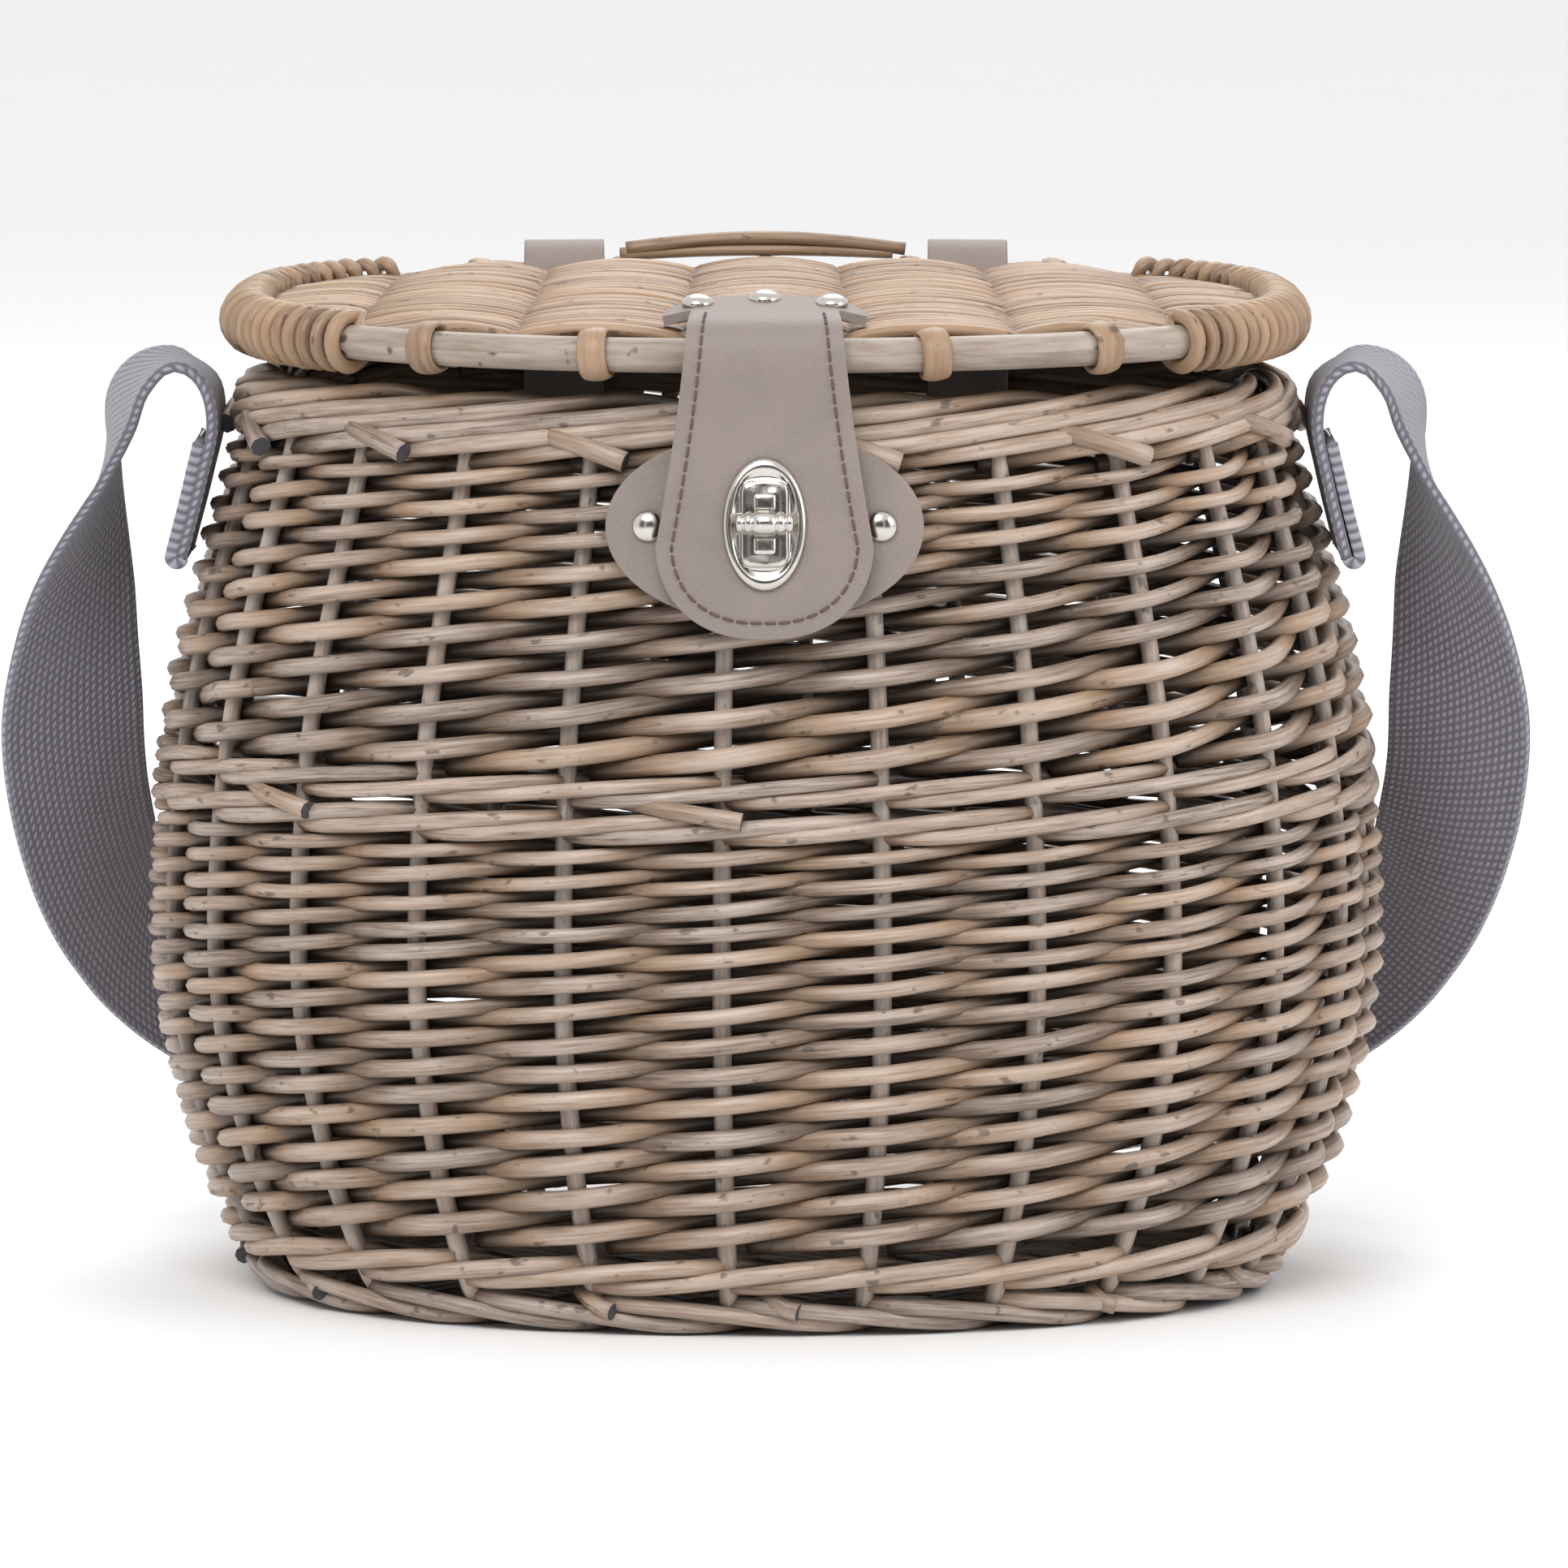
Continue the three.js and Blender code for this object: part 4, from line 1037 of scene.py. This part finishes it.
def make_bar(metal):
    """The barrel that turns: rings at its ends and middle, on a short stem."""
    half = 0.0085
    outline = [(-1, 0), (-1, 0.0024), (-0.93, 0.0031), (-0.80, 0.0031), (-0.77, 0.0026), (-0.70, 0.0026),
               (-0.67, 0.0032), (-0.50, 0.0035), (-0.46, 0.0029), (-0.38, 0.0029), (-0.34, 0.0036),
               (-0.12, 0.0037), (0, 0.0037)]
    outline = outline + [(-p, r) for p, r in outline[-2::-1]]
    bm = turned([(max(1e-5, r), half * p) for p, r in outline], 28)
    bmesh.ops.rotate(bm, cent=(0, 0, 0), matrix=Matrix.Rotation(math.pi / 2, 3, "Y"), verts=bm.verts)
    add_part(bm, turned([(1e-5, -0.0062), (0.0019, -0.0062), (0.0019, -0.002), (1e-5, -0.002)], 16))
    return from_bmesh("lock_bar_barrel", on_lock(bm, 0.0169), [metal])


# ---- Shoulder strap
STRAP_ROUTE = [  # x, y, z in millimetres, and the turn and droop of the front edge in degrees
    (176.8, -8, 227, 0, 0), (170.9, -8, 250, 0, 0), (167.4, -8, 268, 0, 0), (170, -8, 279, 0, 0),
    (179, -8, 285, -8, 0), (189, -7, 281, -14, 0), (197, -5, 270, -15, 0), (203, -1, 248, 2, 0),
    (210, 6, 213, 34, 0), (214, 18, 175, 54, 0), (212, 42, 138, 46, 8), (203, 76, 104, 36, 22),
    (182, 112, 74, 26, 38), (140, 138, 48, 14, 52), (75, 150, 36, 4, 60), (0, 153, 34, 0, 62),
]
STRAP_WIDTH = 0.050
STRAP_THICK = 0.0026
FOLD_LENGTH = 0.036
FOLD_RADIUS = 0.0019


def strap_frames(count=420):
    """The strap's centreline, the way to its front edge, and the way out of its face, at even steps."""
    right = np.array(STRAP_ROUTE, float)
    left = right[:-1][::-1] * (-1, 1, 1, -1, 1)
    route = np.vstack([right, left])
    line, share = smooth_curve(route[:, :3] / 1000, 1600)
    turn = np.radians(np.interp(share, range(len(route)), route[:, 3]))
    drop = np.radians(np.interp(share, range(len(route)), route[:, 4]))
    edge = np.stack([np.sin(turn) * np.cos(drop), -np.cos(turn) * np.cos(drop), -np.sin(drop)], 1)
    kernel = np.hanning(61) / np.hanning(61).sum()
    edge = np.stack([np.convolve(np.pad(edge[:, k], 30, "edge"), kernel, "valid") for k in range(3)], 1)
    steps = run_lengths(line)
    even = np.linspace(0, steps[-1], count)
    line, edge = sample(even, steps, line), sample(even, steps, edge)
    along = unit(np.gradient(line, axis=0))
    edge = unit(edge - (edge * along).sum(1)[:, None] * along)
    return line, edge, np.cross(along, edge), even


def strap_section():
    """The webbing's cross-section: flat faces with thicker, rounder selvedges; (across, out) pairs."""
    half, thick = STRAP_WIDTH / 2, STRAP_THICK / 2
    across = np.linspace(-1, 1, 19)
    swell = 1 + 0.35 * np.exp(-((1 - np.abs(across)) / 0.06) ** 2)
    face = [(half * 0.985 * a, thick * s) for a, s in zip(across, swell)]
    turns = np.radians((45, 0, -45))
    edge = [(half * (0.985 + 0.015 * math.cos(t)), thick * 1.3 * math.sin(t)) for t in turns]
    back = [(half * 0.985 * a, -thick * s) for a, s in zip(across[::-1], swell)]
    other = [(-x, -y) for x, y in edge]
    return face + edge + back + other


def sweep(name, line, across, out, section, faces, uvs, web):
    """A piece made by carrying the section along the line, between its two directions."""
    shape = np.array(section)
    rings = line[:, None] + across[:, None] * shape[None, :, :1] + out[:, None] * shape[None, :, 1:]
    mesh = bpy.data.meshes.new(name)
    mesh.from_pydata(rings.reshape(-1, 3).tolist(), [], faces)
    mesh.uv_layers.new(name="UVMap").data.foreach_set("uv", np.array(uvs, np.float32).ravel())
    mesh.polygons.foreach_set("use_smooth", [len(face) == 4 for face in faces])
    return place_mesh(name, mesh, [web])


def make_strap(web):
    line, edge, out, even = strap_frames()
    section = strap_section()
    count, sides = len(line), len(section)
    rng = random.Random(3)
    drift = [rng.uniform(-0.0006, 0.0006) for _ in range(30)]
    wander = np.interp(even, np.linspace(0, even[-1], 30), drift)
    round_ = run_lengths(np.array(section + section[:1]))
    faces, uvs = [], []
    for i in range(count - 1):
        for k in range(sides):
            m = (k + 1) % sides
            faces.append((i * sides + k, (i + 1) * sides + k, (i + 1) * sides + m, i * sides + m))
            uvs += [(even[i], round_[k]), (even[i + 1], round_[k]),
                    (even[i + 1], round_[k + 1]), (even[i], round_[k + 1])]
    for ring, order in ((0, range(sides)), (count - 1, range(sides - 1, -1, -1))):
        faces.append(tuple(ring * sides + k for k in order))
        uvs += [(even[ring] + section[k][1], section[k][0]) for k in order]
    middle = line + out * wander[:, None]
    return sweep("strap_webbing", middle, edge, out, section, faces, uvs, web), line, even[-1]


def strap_fold(side, web):
    """The webbing's end, folded double and riveted flat to the wall under the strap's first stretch."""
    line, edge, out, even = strap_frames()
    if side == "left":
        line, edge, out = line[::-1], edge[::-1], out[::-1]
    reach = np.searchsorted(even, FOLD_LENGTH)
    base, edges, outs = line[:reach], edge[:reach], out[:reach]
    low = base[0] + outs[0] * FOLD_RADIUS
    down = unit(base[0] - base[1])
    bend = [low + outs[0] * -FOLD_RADIUS * math.sin(a) + down * FOLD_RADIUS * math.cos(a)
            for a in np.radians(np.linspace(90, -90, 10))]
    cover = base + outs * FOLD_RADIUS * 2
    path = np.vstack([np.array(bend), cover[1:]])
    across = np.vstack([np.broadcast_to(edges[0], (len(bend), 3)), edges[1:]])
    normal = np.cross(unit(np.gradient(path, axis=0)), across)
    section = strap_section()
    sides, count = len(section), len(path)
    lengths = run_lengths(path)
    faces, uvs = [], []
    for i in range(count - 1):
        for k in range(sides):
            m = (k + 1) % sides
            faces.append((i * sides + k, i * sides + m, (i + 1) * sides + m, (i + 1) * sides + k))
            uvs += [(lengths[i], section[k][0]), (lengths[i], section[m][0]),
                    (lengths[i + 1], section[m][0]), (lengths[i + 1], section[k][0])]
    for ring, order in ((0, range(sides - 1, -1, -1)), (count - 1, range(sides))):
        faces.append(tuple(ring * sides + k for k in order))
        uvs += [(lengths[ring], section[k][0]) for k in order]
    piece = sweep(f"strap_fold_{side}", path, across, normal, section, faces, uvs, web)
    bm = bmesh.new()
    bm.from_mesh(piece.data)
    bmesh.ops.recalc_face_normals(bm, faces=bm.faces)
    bm.to_mesh(piece.data)
    bm.free()
    piece.data.polygons.foreach_set("use_smooth", [True] * len(piece.data.polygons))
    return piece


# ---- Stage
FLOOR_HALF = 20
CAMERA_TARGET = (0.0057, 0, 0.1542)
CAMERA_RISE = math.radians(7.0)
CAMERA_DISTANCE = 3.3
CAMERA_LENS = 246.5


def light(name, at, to, size, watts, colour=(1, 1, 1)):
    lamp = bpy.data.lights.new(name, "AREA")
    lamp.shape, lamp.size, lamp.energy, lamp.color = "DISK", size, watts, colour
    thing = bpy.data.objects.new(name, lamp)
    thing.location = at
    thing.rotation_euler = (Vector(to) - Vector(at)).to_track_quat("-Z", "Y").to_euler()
    bpy.context.scene.collection.objects.link(thing)


def make_floor(shade):
    bm = bmesh.new()
    bmesh.ops.create_grid(bm, x_segments=1, y_segments=1, size=FLOOR_HALF)
    from_bmesh("floor", bm, [shade])


def make_flag(name, at, turn, width, height, shade):
    """A dark card out of view, which gives the metal something to mirror."""
    bm = bmesh.new()
    bmesh.ops.create_grid(bm, x_segments=1, y_segments=1, size=0.5)
    size = Matrix.Diagonal((width, height, 1, 1))
    place = Matrix.Translation(at) @ Matrix.Rotation(turn, 4, "Z") @ Matrix.Rotation(math.pi / 2, 4, "X")
    bmesh.ops.transform(bm, matrix=place @ size, verts=bm.verts)
    flag = from_bmesh(name, bm, [shade])
    flag.visible_camera = False


def make_camera():
    lens = bpy.data.cameras.new("camera")
    lens.lens, lens.sensor_width, lens.clip_end = CAMERA_LENS, 36, 20
    camera = bpy.data.objects.new("camera", lens)
    target = Vector(CAMERA_TARGET)
    camera.location = target + CAMERA_DISTANCE * Vector((0, -math.cos(CAMERA_RISE), math.sin(CAMERA_RISE)))
    camera.rotation_euler = (target - camera.location).to_track_quat("-Z", "Y").to_euler()
    bpy.context.scene.collection.objects.link(camera)
    bpy.context.scene.camera = camera


def make_world(strength):
    world = bpy.data.worlds.new("studio")
    world.use_nodes = True
    background = world.node_tree.nodes["Background"]
    background.inputs["Color"].default_value = (1, 1, 1, 1)
    background.inputs["Strength"].default_value = strength
    bpy.context.scene.world = world
    bpy.context.scene.view_settings.view_transform = "Standard"


# ---- Add-on
FINISHES = {}


def finish_for(name):
    """Each finish is made once and shared."""
    makers = {
        # Each willow finish takes a dark tone, a light tone, and a pale colour that stands for wear and painted
        # highlight.
        "willow": lambda: willow(
            "weathered willow", (0.085, 0.049, 0.027), (0.28, 0.170, 0.092), (0.55, 0.46, 0.40)),
        "stake": lambda: willow(
            "stake willow", (0.19, 0.135, 0.10), (0.34, 0.255, 0.195), (0.55, 0.48, 0.43)),
        "pale": lambda: willow(
            "pale lid willow", (0.135, 0.072, 0.036), (0.32, 0.188, 0.100), (0.40, 0.285, 0.19), 1.1),
        "grey": lambda: willow(
            "grey rail willow", (0.20, 0.145, 0.105), (0.34, 0.265, 0.215), (0.50, 0.44, 0.39), 1.3),
        "cut": lambda: cut_end("cut willow"),
        "hide": lambda: hide("grained hide", linear(131, 120, 114)),
        "thread": lambda: plain("thread", linear(96, 72, 76), 0.8, scale=1500, spread=0.3),
        "metal": lambda: plain("nickel", (0.58, 0.55, 0.51), 0.2, metallic=1.0, scale=120),
        # The webbing's second colour is painted shade for the valleys of its weave.
        "webbing": lambda: webbing("strap webbing", linear(158, 156, 166), linear(92, 88, 98)),
        "floor": lambda: plain("paper", (0.86, 0.86, 0.86), 0.9, scale=3, spread=0.005),
        "flag": lambda: plain("black cloth", (0.02, 0.02, 0.02), 0.9, scale=3, spread=0.005),
    }
    if name not in FINISHES:
        FINISHES[name] = makers[name]()
    return FINISHES[name]


def metres(name, description, default):
    return bpy.props.FloatProperty(name=name, description=description, default=default, unit="LENGTH")


class BasketSizes(bpy.types.PropertyGroup):
    butt: metres("Rod butt", "Diameter of a wall rod where it starts", 0.0064)
    tip: metres("Rod tip", "Diameter of a wall rod where it ends", 0.0042)
    wale: metres("Wale rod", "Radius of the rods in the middle band", 0.0026)
    border: metres("Border rod", "Radius of the rods in the rolled border", 0.0029)
    lid_rods: bpy.props.IntProperty(
        name="Lid rows", description="Rows of weaving from the front of the lid to the back", default=66)
    lid_rod: metres("Lid rod", "Radius of a rod in the lid", 0.0023)
    stake: metres("Stake", "Radius of an upright stake", 0.0029)


class StageSizes(bpy.types.PropertyGroup):
    daylight: bpy.props.FloatProperty(
        name="Daylight", description="Strength of the even light all round", default=1.0)
    key: bpy.props.FloatProperty(
        name="Key light", description="Power of the large soft light above the front", default=60, unit="POWER")


class BASKET_OT_wall(bpy.types.Operator):
    """Weave the wall, its bands, its border and its stakes"""

    bl_idname = "basket.wall"
    bl_label = "Weave the wall"

    def execute(self, context):
        sizes = context.scene.basket
        rods = finish_for("willow"), finish_for("cut")
        lower = randed(FOOT_TOP - 0.003, WALE_LOW + 0.005, sizes.butt, sizes.tip, 28 / STAKES, seed=1)
        settle(rods_object("lower_randing", lower, rods), "basket", "willow", "lower_wall_weave")
        upper = randed(WALE_HIGH - 0.006, BORDER_LOW + 0.004, sizes.butt, sizes.tip, 0.75, seed=2)
        settle(rods_object("upper_randing", upper, rods), "basket", "willow", "upper_wall_weave")
        band = waled(WALE_LOW, WALE_HIGH, sizes.wale, 2, 2, 3)
        band += butt_ends((-3.6, -0.9), (WALE_LOW + WALE_HIGH) / 2 + 0.003, sizes.wale, drop=0.007)
        settle(rods_object("middle_band", band, rods), "basket", "willow", "middle_wale")
        middle = FOOT_TOP / 2
        foot = waled(0.0003, middle, FOOT_ROD, 2, 1, 4, 0.0033, -1)
        foot += waled(middle, FOOT_TOP, FOOT_ROD, 2, 1, 5, 0.0034) + foot_stubs(0.0027)
        settle(rods_object("foot_band", foot, rods), "basket", "willow", "foot_wale")
        border = border_rods(sizes.border)
        border += butt_ends(np.arange(0.3, STAKES, 1.85), BORDER_LOW + 0.012, sizes.border)
        settle(rods_object("rolled_border", border, rods), "basket", "willow", "rim_border")
        stakes = stake_rods(sizes.stake)
        names = [f"stake_{i + 1:02d}" for i in range(STAKES)]
        settle(rods_object("upright_stakes", stakes, (finish_for("stake"), finish_for("cut"))),
               "basket", "willow", *names)
        return {"FINISHED"}


class BASKET_OT_base(bpy.types.Operator):
    """Weave the base over its three sticks"""

    bl_idname = "basket.base"
    bl_label = "Weave the base"

    def execute(self, context):
        rods = finish_for("willow"), finish_for("cut")
        low, high = box_of("base_weave")
        half, middle = (high - low) / 2, (high + low)[2] / 2
        sticks = (-0.042, 0, 0.042)
        rows = oval_rows(half[0] + 0.001, half[1] + 0.001, middle, 44, 0.0024, sticks, 0.0025)
        settle(rods_object("base_weaving", rows, rods), "basket", "willow", "base_weave")
        bars = [rod([(x, -half[1] + 0.004, middle), (x, half[1] - 0.004, middle)], 0.003) for x in sticks]
        settle(rods_object("base_bars", bars, rods), "basket", "willow",
               "base_stick_1", "base_stick_2", "base_stick_3")
        return {"FINISHED"}


class BASKET_OT_lid(bpy.types.Operator):
    """Weave the lid on its hoop and sticks"""

    bl_idname = "basket.lid"
    bl_label = "Weave the lid"

    def execute(self, context):
        sizes = context.scene.basket
        rods = finish_for("pale"), finish_for("cut")
        rows = lid_rows(sizes.lid_rods, sizes.lid_rod)
        settle(rods_object("lid_rows", rows, rods), "lid", "pale_willow", "lid_weave")
        rail = finish_for("grey"), finish_for("cut")
        settle(rods_object("lid_rail", [hoop_rod()], rail, 16), "lid", "grey_willow", "lid_hoop")
        names = [f"lid_stick_{i + 1}" for i in range(5)]
        settle(rods_object("lid_sticks", lid_sticks(), rods, 12), "lid", "pale_willow", *names)
        settle(rods_object("lid_back_rods", back_rods(), rods), "lid", "pale_willow", "lid_back_rod")
        return {"FINISHED"}


class BASKET_OT_leather(bpy.types.Operator):
    """Cut and stitch the flap, its patch and the hinge loops"""

    bl_idname = "basket.leather"
    bl_label = "Make the leather"

    def execute(self, context):
        leather, thread = finish_for("hide"), finish_for("thread")
        flap = bake(make_flap(leather))
        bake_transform(flap)
        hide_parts("flap_head", "flap_strap")
        sewn = flap_stitching(thread)
        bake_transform(sewn)
        settle(make_patch(leather), "basket", "leather", "front_patch")
        for side in ("left", "right"):
            settle(band_mesh(side, leather), "basket", "leather", f"hinge_strap_{side}")
            settle(band_stitching(side, thread), "basket", "leather")
        return {"FINISHED"}


class BASKET_OT_metal(bpy.types.Operator):
    """Turn the rivets and make the turn lock"""

    bl_idname = "basket.metal"
    bl_label = "Make the metal"

    def execute(self, context):
        metal = finish_for("metal")
        for i in range(3):
            node = f"head_rivet_{i + 1}"
            back = sum(box_of(node))[1] / 2 + HOOP[1]
            rise = head_top(back) - hoop_z(back - HOOP[1]) - HEAD_LIFT
            settle(make_rivet(node, (0, -0.12, 1), metal, rise), "lid", "nickel", node)
        for side, sign in (("left", -1), ("right", 1)):
            node = f"patch_rivet_{side}"
            out = front_point(sign * 0.035, 0, 0.01) - front_point(sign * 0.035, 0, 0)
            settle(make_rivet(node, out / np.linalg.norm(out), metal), "basket", "nickel", node)
            for i in (1, 2):
                node = f"strap_rivet_{side}_{i}"
                settle(make_rivet(node, (sign, 0, 0.1), metal), "basket", "nickel", node)
        settle(make_plate(metal), "flap", "nickel", "lock_plate")
        settle(make_lock_base(metal), "basket", "nickel", "lock_base")
        settle(make_bar(metal), "turn_bar", "nickel", "lock_bar")
        back = frame["nodes"]["lock_back_plate"].data.materials
        back.clear()
        back.append(metal)
        return {"FINISHED"}


class BASKET_OT_strap(bpy.types.Operator):
    """Hang the shoulder strap from its two riveted ends"""

    bl_idname = "basket.strap"
    bl_label = "Hang the strap"

    def execute(self, context):
        web = finish_for("webbing")
        strap, line, total = make_strap(web)
        settle(strap, "basket", "webbing", "shoulder_strap")
        for side in ("left", "right"):
            settle(strap_fold(side, web), "basket", "webbing")
        return {"FINISHED"}


class BASKET_OT_stage(bpy.types.Operator):
    """Set up the floor, the lights and the camera"""

    bl_idname = "basket.stage"
    bl_label = "Set up the stage"

    def execute(self, context):
        sizes = context.scene.basket_stage
        make_floor(finish_for("floor"))
        for sign, name in ((-1, "left_flag"), (1, "right_flag")):
            make_flag(name, (sign * 1.5, -2.2, 0.7), sign * 0.6, 1.1, 1.8, finish_for("flag"))
        make_flag("rear_flag", (0, -4.2, 1.0), 0, 2.6, 1.9, finish_for("flag"))
        light("key light", (-0.6, -2.2, 2.4), (0, 0, 0.15), 2.2, sizes.key)
        light("fill light", (2.2, -1.2, 1.2), (0, 0, 0.15), 1.6, sizes.key * 0.3)
        light("back light", (0.2, 2.2, 2.4), (0, 0, 0.2), 2.0, sizes.key * 0.45)
        make_world(sizes.daylight)
        make_camera()
        return {"FINISHED"}


class BASKET_PT_panel(bpy.types.Panel):
    bl_idname = "BASKET_PT_panel"
    bl_label = "Wicker creel basket"
    bl_space_type = "VIEW_3D"
    bl_region_type = "UI"
    bl_category = "Basket"

    def draw(self, context):
        for sizes in (context.scene.basket, context.scene.basket_stage):
            for name in sizes.__annotations__:
                self.layout.prop(sizes, name)
        for operator in OPERATORS:
            self.layout.operator(operator.bl_idname)


OPERATORS = (
    BASKET_OT_wall, BASKET_OT_base, BASKET_OT_lid, BASKET_OT_leather,
    BASKET_OT_metal, BASKET_OT_strap, BASKET_OT_stage,
)
CLASSES = (BasketSizes, StageSizes, *OPERATORS, BASKET_PT_panel)


def register():
    for cls in CLASSES:
        bpy.utils.register_class(cls)
    bpy.types.Scene.basket = bpy.props.PointerProperty(type=BasketSizes)
    bpy.types.Scene.basket_stage = bpy.props.PointerProperty(type=StageSizes)


def unregister():
    del bpy.types.Scene.basket
    del bpy.types.Scene.basket_stage
    for cls in reversed(CLASSES):
        bpy.utils.unregister_class(cls)


def main():
    register()
    bpy.ops.basket.wall()
    bpy.ops.basket.base()
    bpy.ops.basket.lid()
    bpy.ops.basket.leather()
    bpy.ops.basket.metal()
    bpy.ops.basket.strap()
    bpy.ops.basket.stage()


if __name__ == "__main__":
    main()
